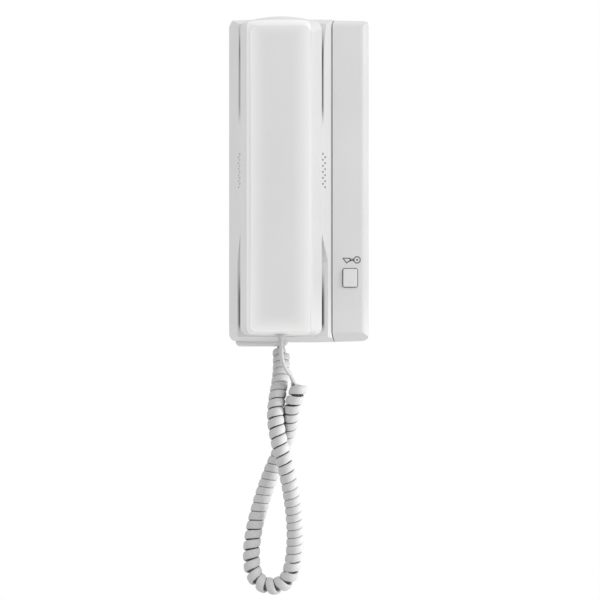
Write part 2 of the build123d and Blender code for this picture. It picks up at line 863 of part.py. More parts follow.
# Handset front shell: drafted walls from the rim, a broad edge, and a long crown over both
screw_places = [(handset_x, handset_screw_rise), (handset_x, -handset_screw_rise)]
with BuildPart() as handset_front_shell:
    with BuildSketch(facing(rim_depth)):
        add(handset_rim(0))
    with BuildSketch(facing(front_depth - front_crown - front_edge)):
        add(handset_face(0))
    with BuildSketch(facing(front_depth)):
        add(handset_face(front_edge_width))
    loft(ruled=True)
    with BuildSketch(side_plane):
        with BuildLine():
            ThreePointArc(
                (front_depth - front_crown, face_top + rim_top_bow),
                (front_depth, (face_top - face_bottom) / 2),
                (front_depth - front_crown, -face_bottom - rim_top_bow),
            )
            Polyline(
                (front_depth - front_crown, -face_bottom - rim_top_bow),
                (front_depth - front_crown, -body_reach),
                (rim_depth, -body_reach),
                (rim_depth, body_reach),
                (front_depth - front_crown, body_reach),
                (front_depth - front_crown, face_top + rim_top_bow),
            )
        make_face()
    extrude(amount=body_reach, both=True, mode=Mode.INTERSECT)
    with BuildSketch(facing(rim_depth)):
        add(handset_rim(handset_wall))
    with BuildSketch(facing(inner_face_depth)):
        add(handset_face(handset_wall))
    loft(ruled=True, mode=Mode.SUBTRACT)
    # bosses for the screws, just off the rear shell
    with BuildSketch(facing(plate_face + fit_gap)):
        with Locations(*screw_places):
            Circle(handset_boss_radius)
            RegularPolygon(handset_screw_radius, shank_sides, mode=Mode.SUBTRACT)
    extrude(amount=inner_face_depth + handset_wall / 2 - plate_face - fit_gap)
    # hole of the cord boot in the lower end
    with BuildSketch(level(handset_x, handset_boot_depth, -rim_bottom)):
        Circle(handset_boot_radius + slip_gap)
    extrude(amount=2 * handset_wall, both=True, mode=Mode.SUBTRACT)
handset_front_shell.part.label = "handset_front_shell"
export_step(handset_front_shell.part, "parts/handset_front_shell.step")

# Handset rear shell: a plate in the front shell's rim, with an ear cup and a mouth cup
ear_cup = (ear_cup_bottom, ear_cup_top)
mouth_cup = (-mouth_cup_bottom, -mouth_cup_top)
cup_floor = cup_nose_depth + cup_wall
with BuildPart() as handset_rear_shell:
    with BuildSketch(facing(rim_depth)):
        add(handset_rim(handset_wall + slip_gap))
    with BuildSketch(facing(plate_face)):
        add(handset_rim(handset_wall + slip_gap + rear_plate_draft))
    loft(ruled=True)
    for bottom, top in (ear_cup, mouth_cup):
        with BuildSketch(facing(rim_depth)):
            add(cup_outline(bottom, top, 0))
        with BuildSketch(facing(cup_nose_depth)):
            add(cup_outline(bottom, top, cup_draft))
        loft(ruled=True)
        with BuildSketch(facing(plate_face)):
            add(cup_outline(bottom, top, cup_wall))
        with BuildSketch(facing(cup_floor)):
            add(cup_outline(bottom, top, cup_wall + cup_draft))
        loft(ruled=True, mode=Mode.SUBTRACT)
    # sound holes over the receiver and the microphone
    with BuildSketch(facing(cup_nose_depth - cut_overrun)):
        with Locations((handset_x, receiver_rise)):
            with PolarLocations(receiver_hole_ring_radius, receiver_hole_count):
                RegularPolygon(receiver_hole_radius, 6)
        with Locations((handset_x, -mic_drop)):
            with GridLocations(mic_hole_spacing, mic_hole_spacing, mic_hole_count, 1):
                RegularPolygon(mic_hole_radius, 6)
    extrude(amount=cup_wall + 2 * cut_overrun, mode=Mode.SUBTRACT)
    with BuildSketch(facing(rim_depth - cut_overrun)):
        with Locations(*screw_places):
            Circle(handset_screw_radius + screw_gap)
    extrude(amount=rear_plate + 2 * cut_overrun, mode=Mode.SUBTRACT)
    with BuildSketch(facing(rim_depth - cut_overrun)):
        with Locations(*screw_places):
            Circle(handset_screw_head_radius + screw_gap)
    extrude(amount=rear_plate / 2 + cut_overrun, mode=Mode.SUBTRACT)
handset_rear_shell.part.label = "handset_rear_shell"
export_step(handset_rear_shell.part, "parts/handset_rear_shell.step")

with BuildPart() as handset_screws:
    with BuildSketch(facing(rim_depth + rear_plate / 2)):
        with Locations(*screw_places):
            Circle(handset_screw_head_radius)
    extrude(amount=-rear_plate / 2)
    with BuildSketch(facing(rim_depth + rear_plate / 2)):
        with Locations(*screw_places):
            RegularPolygon(handset_screw_radius - slip_gap, shank_sides)
    extrude(amount=handset_screw_length)
handset_screws.part.label = "handset_screws"
export_step(handset_screws.part, "parts/handset_screws.step")

# Receiver on its gasket in the ear cup
with BuildPart() as receiver_gasket:
    with BuildSketch(facing(cup_floor)):
        with Locations((handset_x, receiver_rise)):
            Circle(receiver_radius)
            Circle(receiver_gasket_inner, mode=Mode.SUBTRACT)
    extrude(amount=receiver_gasket_height)
receiver_gasket.part.label = "receiver_gasket"
export_step(receiver_gasket.part, "parts/receiver_gasket.step")

with BuildPart() as receiver_capsule:
    with BuildSketch(facing(cup_floor + receiver_gasket_height)):
        with Locations((handset_x, receiver_rise)):
            Circle(receiver_radius)
    extrude(amount=receiver_height)
    chamfer(faces().sort_by(Axis.Y)[0].edges(), length=receiver_gasket_height)
receiver_capsule.part.label = "receiver_capsule"
export_step(receiver_capsule.part, "parts/receiver_capsule.step")

# Microphone in its rubber boot in the mouth cup
with BuildPart() as microphone_boot:
    with BuildSketch(facing(cup_floor)):
        with Locations((handset_x, -mic_drop)):
            Circle(mic_radius + mic_boot_wall)
    extrude(amount=mic_boot_floor + mic_height)
    with BuildSketch(facing(cup_floor + mic_boot_floor)):
        with Locations((handset_x, -mic_drop)):
            Circle(mic_radius)
    extrude(amount=mic_height, mode=Mode.SUBTRACT)
    with BuildSketch(facing(cup_floor)):
        with Locations((handset_x, -mic_drop)):
            Circle(mic_radius - mic_boot_wall)
    extrude(amount=mic_boot_floor, mode=Mode.SUBTRACT)
microphone_boot.part.label = "microphone_boot"
export_step(microphone_boot.part, "parts/microphone_boot.step")

with BuildPart() as microphone_capsule:
    with BuildSketch(facing(cup_floor + mic_boot_floor)):
        with Locations((handset_x, -mic_drop)):
            Circle(mic_radius)
    extrude(amount=mic_height)
microphone_capsule.part.label = "microphone_capsule"
export_step(microphone_capsule.part, "parts/microphone_capsule.step")

# Steel weight on the rear shell between the screws
with BuildPart() as handset_weight:
    with BuildSketch(facing(plate_face)):
        with Locations((handset_x, 0)):
            Rectangle(weight_width, weight_length)
    extrude(amount=weight_height)
    chamfer(faces().sort_by(Axis.Y)[0].edges(), length=weight_edge)
handset_weight.part.label = "handset_weight"
export_step(handset_weight.part, "parts/handset_weight.step")

# Cord boot in the handset's lower end: a flange inside the wall and a sleeve through it
boot_collar = -face_bottom + handset_wall - fit_gap
handset_boot_end = handset_boot_rise - body_drop
with BuildPart() as handset_cord_boot:
    with BuildSketch(level(handset_x, handset_boot_depth, handset_boot_end)):
        Circle(handset_boot_radius)
    extrude(amount=boot_collar - handset_boot_end)
    with BuildSketch(level(handset_x, handset_boot_depth, boot_collar)):
        Circle(handset_boot_flange_radius)
    extrude(amount=handset_boot_flange)
handset_cord_boot.part.label = "handset_cord_boot"
export_step(handset_cord_boot.part, "parts/handset_cord_boot.step")

# Cord boot in the wall plate's block
base_boot_end = -cord_block_bottom - base_boot_stand
with BuildPart() as base_cord_boot:
    with BuildSketch(level(base_boot_x, base_boot_depth, base_boot_end)):
        Circle(boot_radius)
    extrude(amount=base_boot_length)
base_cord_boot.part.label = "base_cord_boot"
export_step(base_cord_boot.part, "parts/base_cord_boot.step")


# The cord
def route_point(place):
    """A place on the cord's route in the part's frame."""
    x, depth, drop = place
    return Vector(x, -depth, -body_drop - drop)


def corner_radii(points):
    """The largest radius that each corner's two runs allow."""
    radii = []
    for before, here, after in zip(points, points[1:], points[2:]):
        run = min((here - before).length, (after - here).length)
        turn = radians((here - before).get_angle(after - here))
        radii.append(corner_share * run / tan(turn / 2))
    return radii


def biarc_joint(start, start_way, end, end_way):
    """Where two equal-reach arcs meet that leave start and reach end along the given ways."""
    across = end - start
    ways = start_way + end_way
    spread = 2 * (1 - start_way.dot(end_way))
    reach = sqrt(across.dot(ways) ** 2 + spread * across.dot(across)) - across.dot(ways)
    return (start + end + (start_way - end_way) * (reach / spread)) * 0.5


axis_points = [route_point(place) for place in coil_route]
axis_radii = corner_radii(axis_points)
print("coil axis radii, mm:", [round(radius, 1) for radius in axis_radii])
with BuildLine() as axis_line:
    FilletPolyline(*axis_points, radius=axis_radii)
axis = axis_line.wires()[0]
tail_end = Vector(handset_x, -handset_boot_depth, handset_boot_end)
tail_points = [route_point(place) for place in tail_route]
tail_points += [tail_end - Vector(0, 0, handset_boot_run), tail_end]
tail_radii = corner_radii(tail_points)
print("tail radii, mm:", [round(radius, 1) for radius in tail_radii])
with BuildLine() as tail_line:
    FilletPolyline(*tail_points, radius=tail_radii)
tail_path = tail_line.wires()[0]

# The curls as points at each half turn about the axis, with the way the cord runs there.
# The frame is carried along the axis without twist, and bend is the axis's curvature.
sample = axis.length / half_turns / 4
side = Vector(1, 0, 0)
curl_points = []
curl_ways = []
for half_turn in range(half_turns + 1):
    here = half_turn / half_turns
    before = max(here - sample / axis.length, 0)
    after = min(here + sample / axis.length, 1)
    along = axis.tangent_at(here)
    bend = (axis.tangent_at(after) - axis.tangent_at(before)) / ((after - before) * axis.length)
    side = (side - along * side.dot(along)).normalized()
    up = along.cross(side)
    phase = radians(start_phase) + pi * half_turn
    outward = side * cos(phase) + up * sin(phase)
    around = up * cos(phase) - side * sin(phase)
    climb = axis.length / (half_turns * pi) * (1 - coil_radius * bend.dot(outward))
    curl_points.append(axis.position_at(here) + outward * coil_radius)
    curl_ways.append((along * climb + around * coil_radius).normalized())

# Straight ends, one cord's side long and square to the boot and to the tail
cord_corner_radius = cord_side / 2 / sin(pi / cord_corners)
base_exit = Vector(base_boot_x, -base_boot_depth, base_boot_end)
down = Vector(0, 0, -1)
tail_way = tail_path % 0
stations = [(base_exit + down * cord_side, down)]
stations += list(zip(curl_points, curl_ways))
stations.append((tail_points[0] - tail_way * cord_side, tail_way))

arcs = []
with BuildLine() as coil_line:
    Line(base_exit, stations[0][0])
    for (start, start_way), (end, end_way) in zip(stations, stations[1:]):
        joint = biarc_joint(start, start_way, end, end_way)
        arc = TangentArc(start, joint, tangent=start_way)
        arcs += [arc, TangentArc(joint, end, tangent=arc % 1)]
    Line(stations[-1][0], tail_points[0])
coil_path = coil_line.wires()[0]
print("tightest curl radius, mm:", round(min(arc.radius for arc in arcs), 2))

with BuildPart() as cord_coil:
    with BuildSketch(Plane(origin=base_exit, x_dir=(1, 0, 0), z_dir=down)):
        RegularPolygon(cord_corner_radius, cord_corners)
    sweep(path=coil_path, clean=False)
cord_coil.part.label = "cord_coil"
export_step(cord_coil.part, "parts/cord_coil.step")

# The tail goes on from the coil's end face
flat_ends = cord_coil.faces().filter_by(GeomType.PLANE)
coil_end = flat_ends.sort_by(lambda face: (face.center() - tail_points[0]).length)[0]
with BuildPart() as cord_tail:
    sweep(coil_end, path=tail_path, clean=False)
cord_tail.part.label = "cord_tail"
export_step(cord_tail.part, "parts/cord_tail.step")

area = coil_end.area
print("coil volume over section times length:", cord_coil.part.volume / (area * coil_path.length))
print("tail volume over section times length:", cord_tail.part.volume / (area * tail_path.length))
print("cord length, mm:", round(coil_path.length + tail_path.length))

# Least gap of the cord to itself, from points half its side apart
trace = []
run = 0
for path in (coil_path, tail_path):
    count = round(2 * path.length / cord_side)
    for k in range(count):
        trace.append((run + path.length * k / count, *tuple(path @ (k / count))))
    run += path.length
least = min(
    sqrt((a[1] - b[1]) ** 2 + (a[2] - b[2]) ** 2 + (a[3] - b[3]) ** 2)
    for i, a in enumerate(trace)
    for b in trace[i + 1:]
    if b[0] - a[0] > pi * coil_radius
)
print("least gap of the cord to itself, mm:", round(least - 2 * cord_corner_radius, 2))
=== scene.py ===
# %% [markdown]
# # A white wall intercom with a curly cord
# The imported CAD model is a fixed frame: a leaning cradle on its wall plate, a side panel
# with a door button, and a handset. This script gives each moulding its finish, hangs a
# flat curly cord in place of the plain solids, prints a key above the button and sets up
# soft light and a camera. Metres throughout: X runs right, Z up, and -Y comes off the wall.

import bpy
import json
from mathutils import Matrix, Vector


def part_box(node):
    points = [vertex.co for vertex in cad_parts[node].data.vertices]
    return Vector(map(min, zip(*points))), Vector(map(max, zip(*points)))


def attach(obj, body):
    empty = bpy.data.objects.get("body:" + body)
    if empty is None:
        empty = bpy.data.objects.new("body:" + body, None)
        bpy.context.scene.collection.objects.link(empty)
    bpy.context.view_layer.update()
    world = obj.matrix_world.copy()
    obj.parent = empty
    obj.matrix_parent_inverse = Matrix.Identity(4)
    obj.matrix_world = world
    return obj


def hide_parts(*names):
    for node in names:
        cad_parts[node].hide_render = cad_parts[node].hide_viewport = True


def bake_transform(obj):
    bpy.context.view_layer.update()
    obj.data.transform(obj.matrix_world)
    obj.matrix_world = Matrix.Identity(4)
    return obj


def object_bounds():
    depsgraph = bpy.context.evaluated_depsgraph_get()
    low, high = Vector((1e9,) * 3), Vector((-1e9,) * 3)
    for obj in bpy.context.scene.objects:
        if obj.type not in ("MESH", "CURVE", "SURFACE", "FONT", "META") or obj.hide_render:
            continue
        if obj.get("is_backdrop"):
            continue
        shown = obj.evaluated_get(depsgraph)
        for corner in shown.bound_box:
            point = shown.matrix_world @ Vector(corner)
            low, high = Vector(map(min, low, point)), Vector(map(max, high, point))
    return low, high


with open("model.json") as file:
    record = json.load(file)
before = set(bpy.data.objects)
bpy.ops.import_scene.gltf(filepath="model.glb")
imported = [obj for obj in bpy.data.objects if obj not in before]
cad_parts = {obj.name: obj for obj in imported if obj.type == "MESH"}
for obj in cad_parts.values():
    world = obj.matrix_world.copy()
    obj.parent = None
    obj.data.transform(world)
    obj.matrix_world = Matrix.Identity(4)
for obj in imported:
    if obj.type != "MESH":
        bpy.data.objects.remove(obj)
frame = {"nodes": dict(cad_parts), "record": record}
cad_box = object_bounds()
nodes = frame["nodes"]

# %% Modules and units
import json
import math

import bmesh
import bpy
from mathutils import Vector

MM = 0.001
QUARTER = math.pi / 2
TURN = math.tau
print("one millimetre:", MM, "m")

# %% [markdown]
# ## Camera
# The photograph looks straight at the wall with a long lens, a little below the middle of
# the cradle, so that the handset's face hides both of its own flanks. A camera 1.4 m off
# the wall gives the same small difference in scale between the handset and the wall plate.

# %% Camera facing the wall
camera_distance = 1.4
camera_right = 0.7 * MM
camera_height = -81.7 * MM
view_width_at_wall = 414.5 * MM
sensor_width_mm = 36

camera_data = bpy.data.cameras.new("photo_camera")
camera_data.sensor_width = sensor_width_mm
camera_data.lens = sensor_width_mm * camera_distance / view_width_at_wall
camera = bpy.data.objects.new("photo_camera", camera_data)
camera.location = (camera_right, -camera_distance, camera_height)
camera.rotation_euler = (QUARTER, 0, 0)
bpy.context.scene.collection.objects.link(camera)
bpy.context.scene.camera = camera
print("lens:", round(camera_data.lens, 1), "mm")

# %% [markdown]
# ## Helpers for node trees
# Materials and the world are trees of nodes, and each effect below is a few sums and
# products of sockets. One helper adds a node, one feeds an input with a number, a colour
# or another node's output, and one adds a step of maths. They keep each effect short.

# %% Helpers for node trees
def add_node(tree, kind, **settings):
    """A new node with its properties set."""
    node = tree.nodes.new(kind)
    for key, value in settings.items():
        setattr(node, key, value)
    return node


def feed(tree, value, socket):
    """Give an input a number, a colour or the output of another node."""
    if isinstance(value, bpy.types.NodeSocket):
        tree.links.new(value, socket)
    elif isinstance(value, tuple):
        socket.default_value = (*value, 1)
    else:
        socket.default_value = value


def add_math(tree, operation, *values):
    """A maths node fed with its values in order."""
    node = add_node(tree, "ShaderNodeMath", operation=operation)
    for value, socket in zip(values, node.inputs):
        feed(tree, value, socket)
    return node.outputs[0]


# %% [markdown]
# ## Light
# The product was lit by a soft, nearly shadowless light on a white ground. The right-hand
# slopes are the palest, the flat faces come next and the left-hand slopes are a shade
# darker. The world gives the even share that reaches all of them, a little more of it from
# above than from below. A large lamp far round at the right gives most of the rest, and a
# narrow one at the right reaches little but the cord, whose turns go from nearly white at
# the right to grey at the left. What the camera and a glossy surface see of the world is
# plain white.

# %% World that lights evenly
ambient_strength = 0.745
overhead_gain = 0.2
plain_white = (1, 1, 1)

bpy.context.scene.view_settings.view_transform = "Standard"
world = bpy.data.worlds.new("white_studio")
bpy.context.scene.world = world
world.use_nodes = True
world_tree = world.node_tree
world_tree.nodes.clear()
light_direction = add_node(world_tree, "ShaderNodeTexCoord")
direction_split = add_node(world_tree, "ShaderNodeSeparateXYZ")
feed(world_tree, light_direction.outputs["Generated"], direction_split.inputs["Vector"])
even_strength = add_math(
    world_tree, "MULTIPLY_ADD", direction_split.outputs["Z"], overhead_gain, ambient_strength
)
even_light = add_node(world_tree, "ShaderNodeBackground")
feed(world_tree, plain_white, even_light.inputs["Color"])
feed(world_tree, even_strength, even_light.inputs["Strength"])
print("world:", ambient_strength, "level with the phone, more from above by", overhead_gain)

# %% World that is seen as plain white
white_ground = add_node(world_tree, "ShaderNodeBackground")
feed(world_tree, plain_white, white_ground.inputs["Color"])
feed(world_tree, 1, white_ground.inputs["Strength"])
rays = add_node(world_tree, "ShaderNodeLightPath")
seen = rays.outputs["Is Camera Ray"]
for kind_of_ray in ("Is Glossy Ray", "Is Transmission Ray"):
    seen = add_math(world_tree, "MAXIMUM", seen, rays.outputs[kind_of_ray])
choice = add_node(world_tree, "ShaderNodeMixShader")
feed(world_tree, seen, choice.inputs["Fac"])
feed(world_tree, even_light.outputs["Background"], choice.inputs[1])
feed(world_tree, white_ground.outputs["Background"], choice.inputs[2])
world_out = add_node(world_tree, "ShaderNodeOutputWorld")
feed(world_tree, choice.outputs["Shader"], world_out.inputs["Surface"])
print("world nodes:", len(world_tree.nodes))


# %% Lamps at the right
def add_lamp(name, kind, place, aim_at, power, **settings):
    """A lamp aimed at a place on the object, with its other settings by name."""
    lamp_data = bpy.data.lights.new(name, kind)
    lamp_data.energy = power
    for key, value in settings.items():
        setattr(lamp_data, key, value)
    lamp = bpy.data.objects.new(name, lamp_data)
    lamp.location = place
    aim = Vector(aim_at) - lamp.location
    lamp.rotation_euler = aim.to_track_quat("-Z", "Y").to_euler()
    bpy.context.scene.collection.objects.link(lamp)
    return lamp


key_lamp = add_lamp(
    "key_right", "AREA", place=(1.15, -0.62, 0.45), aim_at=(0, 0, -0.05), power=7.0, size=0.6
)
cord_lamp = add_lamp(
    "cord_right", "SPOT", place=(0.82, -0.13, -0.30), aim_at=(-0.012, -0.02, -0.205), power=19,
    spot_size=math.radians(13.5), spot_blend=0.25, shadow_soft_size=0.05,
)
print("lamps:", [(lamp.name, lamp.data.energy) for lamp in (key_lamp, cord_lamp)])

# %% [markdown]
# ## Floor
# The phone hangs on a wall, and the photograph leaves the wall out. A pale floor well
# below the cord catches its shadow in the views from above and stays out of the front view.

# %% Pale floor
floor_height = -0.46
floor_half = 0.8

floor_corners = [
    (-floor_half, -floor_half, 0), (floor_half, -floor_half, 0),
    (floor_half, floor_half, 0), (-floor_half, floor_half, 0),
]
floor_mesh = bpy.data.meshes.new("floor")
floor_mesh.from_pydata(floor_corners, [], [(0, 1, 2, 3)])
floor = bpy.data.objects.new("floor", floor_mesh)
floor.location.z = floor_height
bpy.context.scene.collection.objects.link(floor)
floor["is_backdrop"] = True
print("floor:", floor_height, "m")

# %% [markdown]
# ## Effects that several finishes share
# Five small shader groups are built once and placed in each material with its own values: the fine
# grain of a spark-eroded mould, a slow drift of tone from one end of a moulding to the other, wear on
# edges that hands touch, dust in corners, and painted shade that darkens a deep slot between two
# pieces. Each puts out a value that changes over the surface, and the material decides what it does
# with it.


# %% Helpers for shader groups
def start_group(name, inputs, outputs):
    """A shader group with named float inputs, as (name, value) pairs, and float outputs."""
    group = bpy.data.node_groups.new(name, "ShaderNodeTree")
    for socket_name, value in inputs:
        socket = group.interface.new_socket(socket_name, in_out="INPUT", socket_type="NodeSocketFloat")
        socket.default_value = value
    for socket_name in outputs:
        group.interface.new_socket(socket_name, in_out="OUTPUT", socket_type="NodeSocketFloat")
    entry = group.nodes.new("NodeGroupInput")
    exit_node = group.nodes.new("NodeGroupOutput")
    return group, entry, exit_node


def object_place(tree):
    """The object's own coordinates, which stay with it in every pose."""
    return add_node(tree, "ShaderNodeTexCoord").outputs["Object"]


def add_noise(tree, place, scale, detail):
    """A noise at a place. The scale, per metre, is a number or a socket."""
    noise = add_node(tree, "ShaderNodeTexNoise")
    feed(tree, place, noise.inputs["Vector"])
    feed(tree, scale, noise.inputs["Scale"])
    feed(tree, detail, noise.inputs["Detail"])
    return noise.outputs["Fac"]


def map_range(tree, value, low, high, to_low=0, to_high=1, interpolation="LINEAR"):
    """A change from to_low at low to to_high at high, level beyond them. Low may be the greater."""
    node = add_node(tree, "ShaderNodeMapRange", interpolation_type=interpolation)
    feed(tree, value, node.inputs["Value"])
    feed(tree, low, node.inputs["From Min"])
    feed(tree, high, node.inputs["From Max"])
    feed(tree, to_low, node.inputs["To Min"])
    feed(tree, to_high, node.inputs["To Max"])
    return node.outputs["Result"]


# %% [markdown]
# ### Grain
# The steel of the mould was eroded by sparks, and the plastic copies its tiny pits. Two
# sizes of noise, summed, look more like that than one does.

# %% Group: grain of the mould
def make_mould_grain():
    """Height of a fine, even grain. Grain Size is the width of one speck in millimetres."""
    coarse_ratio = 0.22
    group, entry, exit_node = start_group(
        "mould grain", [("Grain Size", 0.35), ("Coarse Share", 0.3)], ["Height"]
    )
    place = object_place(group)
    per_metre = add_math(group, "DIVIDE", 1 / MM, entry.outputs["Grain Size"])
    coarse_scale = add_math(group, "MULTIPLY", per_metre, coarse_ratio)
    fine = add_noise(group, place, per_metre, detail=2)
    coarse = add_noise(group, place, coarse_scale, detail=1)
    coarse_part = add_math(group, "MULTIPLY", coarse, entry.outputs["Coarse Share"])
    feed(group, add_math(group, "ADD", fine, coarse_part), exit_node.inputs["Height"])
    return group


mould_grain = make_mould_grain()
print("group:", mould_grain.name)

# %% [markdown]
# ### Drift of tone
# No moulding has quite the same tone all over: the resin cools unevenly, and cloths and
# light age it in patches. A slow noise gives the patches and a drawn-out one the streaks.

# %% Group: slow drift of tone
def make_tone_drift():
    """A value from 0 to 1 that wanders over a few centimetres, with faint streaks along Z."""
    streak_stretch = 0.12
    streaks_per_patch = 6
    drift_low = 0.35
    drift_high = 0.85
    group, entry, exit_node = start_group(
        "tone drift", [("Patch Size", 40), ("Streaks", 0.25)], ["Drift"]
    )
    place = object_place(group)
    per_metre = add_math(group, "DIVIDE", 1 / MM, entry.outputs["Patch Size"])
    patches = add_noise(group, place, per_metre, detail=3)
    drawn_out = add_node(group, "ShaderNodeMapping")
    drawn_out.inputs["Scale"].default_value = (1, 1, streak_stretch)
    feed(group, place, drawn_out.inputs["Vector"])
    streak_scale = add_math(group, "MULTIPLY", per_metre, streaks_per_patch)
    streaks = add_noise(group, drawn_out.outputs["Vector"], streak_scale, detail=2)
    streak_part = add_math(group, "MULTIPLY", streaks, entry.outputs["Streaks"])
    both = add_math(group, "ADD", patches, streak_part)
    feed(group, map_range(group, both, drift_low, drift_high), exit_node.inputs["Drift"])
    return group


tone_drift = make_tone_drift()
print("group:", tone_drift.name)

# %% [markdown]
# ### Wear
# A bevel node turns the normal near an edge. Where that normal leaves the true one there
# is an edge, whatever the mesh is like, and a noise breaks it up so that the wear isn't a
# drawn line.

# %% Group: wear on edges
def make_edge_wear():
    """A mask from 0 to 1 near sharp edges. Reach is how far in the wear goes, in millimetres."""
    flat_likeness = 0.998
    edge_likeness = 0.93
    rubs_per_metre = 160
    group, entry, exit_node = start_group(
        "edge wear", [("Reach", 0.8), ("Patchiness", 0.6)], ["Mask"]
    )
    rounded = add_node(group, "ShaderNodeBevel", samples=4)
    feed(group, add_math(group, "MULTIPLY", entry.outputs["Reach"], MM), rounded.inputs["Radius"])
    surface = add_node(group, "ShaderNodeNewGeometry")
    likeness = add_node(group, "ShaderNodeVectorMath", operation="DOT_PRODUCT")
    feed(group, rounded.outputs["Normal"], likeness.inputs[0])
    feed(group, surface.outputs["Normal"], likeness.inputs[1])
    edge = map_range(group, likeness.outputs["Value"], flat_likeness, edge_likeness)
    rubs = add_noise(group, object_place(group), rubs_per_metre, detail=3)
    broken = add_math(group, "MULTIPLY", rubs, entry.outputs["Patchiness"])
    left_over = add_math(group, "SUBTRACT", edge, broken)
    feed(group, add_math(group, "MAXIMUM", left_over, 0), exit_node.inputs["Mask"])
    return group


edge_wear = make_edge_wear()
print("group:", edge_wear.name)

# %% [markdown]
# ### Dust
# Dust settles where a cloth doesn't reach. Ambient occlusion within the piece itself finds
# its own corners and seams, and a fine noise breaks the dust into specks.

# %% Group: dust in corners
def make_corner_dust():
    """A mask from 0 to 1 in seams and recesses. Depth is how near two walls are, in millimetres."""
    specks_per_metre = 420
    group, entry, exit_node = start_group(
        "corner dust", [("Depth", 3), ("Evenness", 0.5)], ["Mask"]
    )
    near = add_node(group, "ShaderNodeAmbientOcclusion", samples=4, only_local=True)
    feed(group, add_math(group, "MULTIPLY", entry.outputs["Depth"], MM), near.inputs["Distance"])
    shut_in = add_math(group, "SUBTRACT", 1, near.outputs["AO"])
    specks = add_noise(group, object_place(group), specks_per_metre, detail=4)
    settled = add_math(group, "ADD", specks, entry.outputs["Evenness"])
    feed(group, add_math(group, "MULTIPLY", shut_in, settled), exit_node.inputs["Mask"])
    return group


corner_dust = make_corner_dust()
print("group:", corner_dust.name)

# %% [markdown]
# ### Grime
# Between two pieces the slot is deeper than the dust, and it is painted dark as shade. Here the
# occlusion counts the other pieces too, so the painted shade fades where a pose moves them apart.

# %% Group: painted shade in deep slots
def make_occlusion_shade():
    """A mask from 0 to 1 for painted shade where other surfaces close in. Reach is in millimetres."""
    group, entry, exit_node = start_group(
        "occlusion shade", [("Reach", 7), ("Open Share", 0.62), ("Shut Share", 0.22)], ["Mask"]
    )
    near = add_node(group, "ShaderNodeAmbientOcclusion", samples=8)
    feed(group, add_math(group, "MULTIPLY", entry.outputs["Reach"], MM), near.inputs["Distance"])
    closed_in = map_range(
        group, near.outputs["AO"], entry.outputs["Open Share"], entry.outputs["Shut Share"],
        interpolation="SMOOTHSTEP",
    )
    feed(group, closed_in, exit_node.inputs["Mask"])
    return group


occlusion_shade = make_occlusion_shade()
print("group:", occlusion_shade.name)

# %% [markdown]
# ## Finishes
# Every finish starts from the same frame of nodes: a base colour that drifts a little in tone, is
# rubbed on edges, is dusty in corners and is darkened by painted shade in deep slots; a roughness that
# changes with the drift, wear and dust; and the grain as a bump. One function wires them, and each
# finish gives its own colours and amounts.


# %% Helpers for one finish
def place_group(tree, group, **values):
    """A shader group in a material, with its inputs set by name."""
    node = add_node(tree, "ShaderNodeGroup", node_tree=group)
    for key, value in values.items():
        feed(tree, value, node.inputs[key.replace("_", " ")])
    return node


def mix_colours(tree, mask, first, second):
    """A colour that goes from first to second as the mask goes from 0 to 1."""
    node = add_node(tree, "ShaderNodeMix", data_type="RGBA")
    feed(tree, mask, node.inputs["Factor"])
    colour_inputs = [socket for socket in node.inputs if socket.type == "RGBA"]
    feed(tree, first, colour_inputs[0])
    feed(tree, second, colour_inputs[1])
    return [socket for socket in node.outputs if socket.type == "RGBA"][0]


# %% One function for every moulded or machined finish
# Near-black colour of the painted shade in deep slots
painted_shade_colour = (0.045, 0.043, 0.04)
coat_roughness = 0.25
rubbed_shine = 0.12
dust_dulling = 0.4


def make_finish(
    name, pale, deep, worn, dusty, roughness, grain_size, grain_depth,
    metallic=0.0, coat=0.0, wear_reach=0.8, patch_size=40.0, dust=0.35, painted_shade=0.8,
):
    """A drifting tone, worn on edges, dusty in corners and darkened by painted shade in deep slots.
    Its sizes are in millimetres.
    """
    material = bpy.data.materials.new(name)
    material.use_nodes = True
    tree = material.node_tree
    shader = tree.nodes["Principled BSDF"]
    shader.inputs["Metallic"].default_value = metallic
    shader.inputs["Coat Weight"].default_value = coat
    shader.inputs["Coat Roughness"].default_value = coat_roughness

    drift = place_group(tree, tone_drift, Patch_Size=patch_size).outputs["Drift"]
    wear = place_group(tree, edge_wear, Reach=wear_reach).outputs["Mask"]
    corner = place_group(tree, corner_dust).outputs["Mask"]
    # Painted shade: a darker tone where other pieces close in
    slot = place_group(tree, occlusion_shade).outputs["Mask"]
    dust_amount = add_math(tree, "MULTIPLY", corner, dust)
    painted_shade_amount = add_math(tree, "MULTIPLY", slot, painted_shade)
    colour = mix_colours(tree, drift, deep, pale)
    for mask, tone in ((wear, worn), (dust_amount, dusty), (painted_shade_amount, painted_shade_colour)):
        colour = mix_colours(tree, mask, colour, tone)
    feed(tree, colour, shader.inputs["Base Color"])

    smoothest, dullest = roughness
    drifting_gloss = map_range(tree, drift, 0, 1, to_low=dullest, to_high=smoothest)
    rubbed_gloss = add_math(tree, "MULTIPLY", wear, rubbed_shine)
    dust_gloss = add_math(tree, "MULTIPLY", dust_amount, dust_dulling)
    smoother = add_math(tree, "SUBTRACT", drifting_gloss, rubbed_gloss)
    feed(tree, add_math(tree, "ADD", smoother, dust_gloss), shader.inputs["Roughness"])

    grain = place_group(tree, mould_grain, Grain_Size=grain_size)
    bump = add_node(tree, "ShaderNodeBump")
    bump.inputs["Distance"].default_value = grain_depth * MM
    bump.inputs["Strength"].default_value = 1
    feed(tree, grain.outputs["Height"], bump.inputs["Height"])
    feed(tree, bump.outputs["Normal"], shader.inputs["Normal"])
    return material
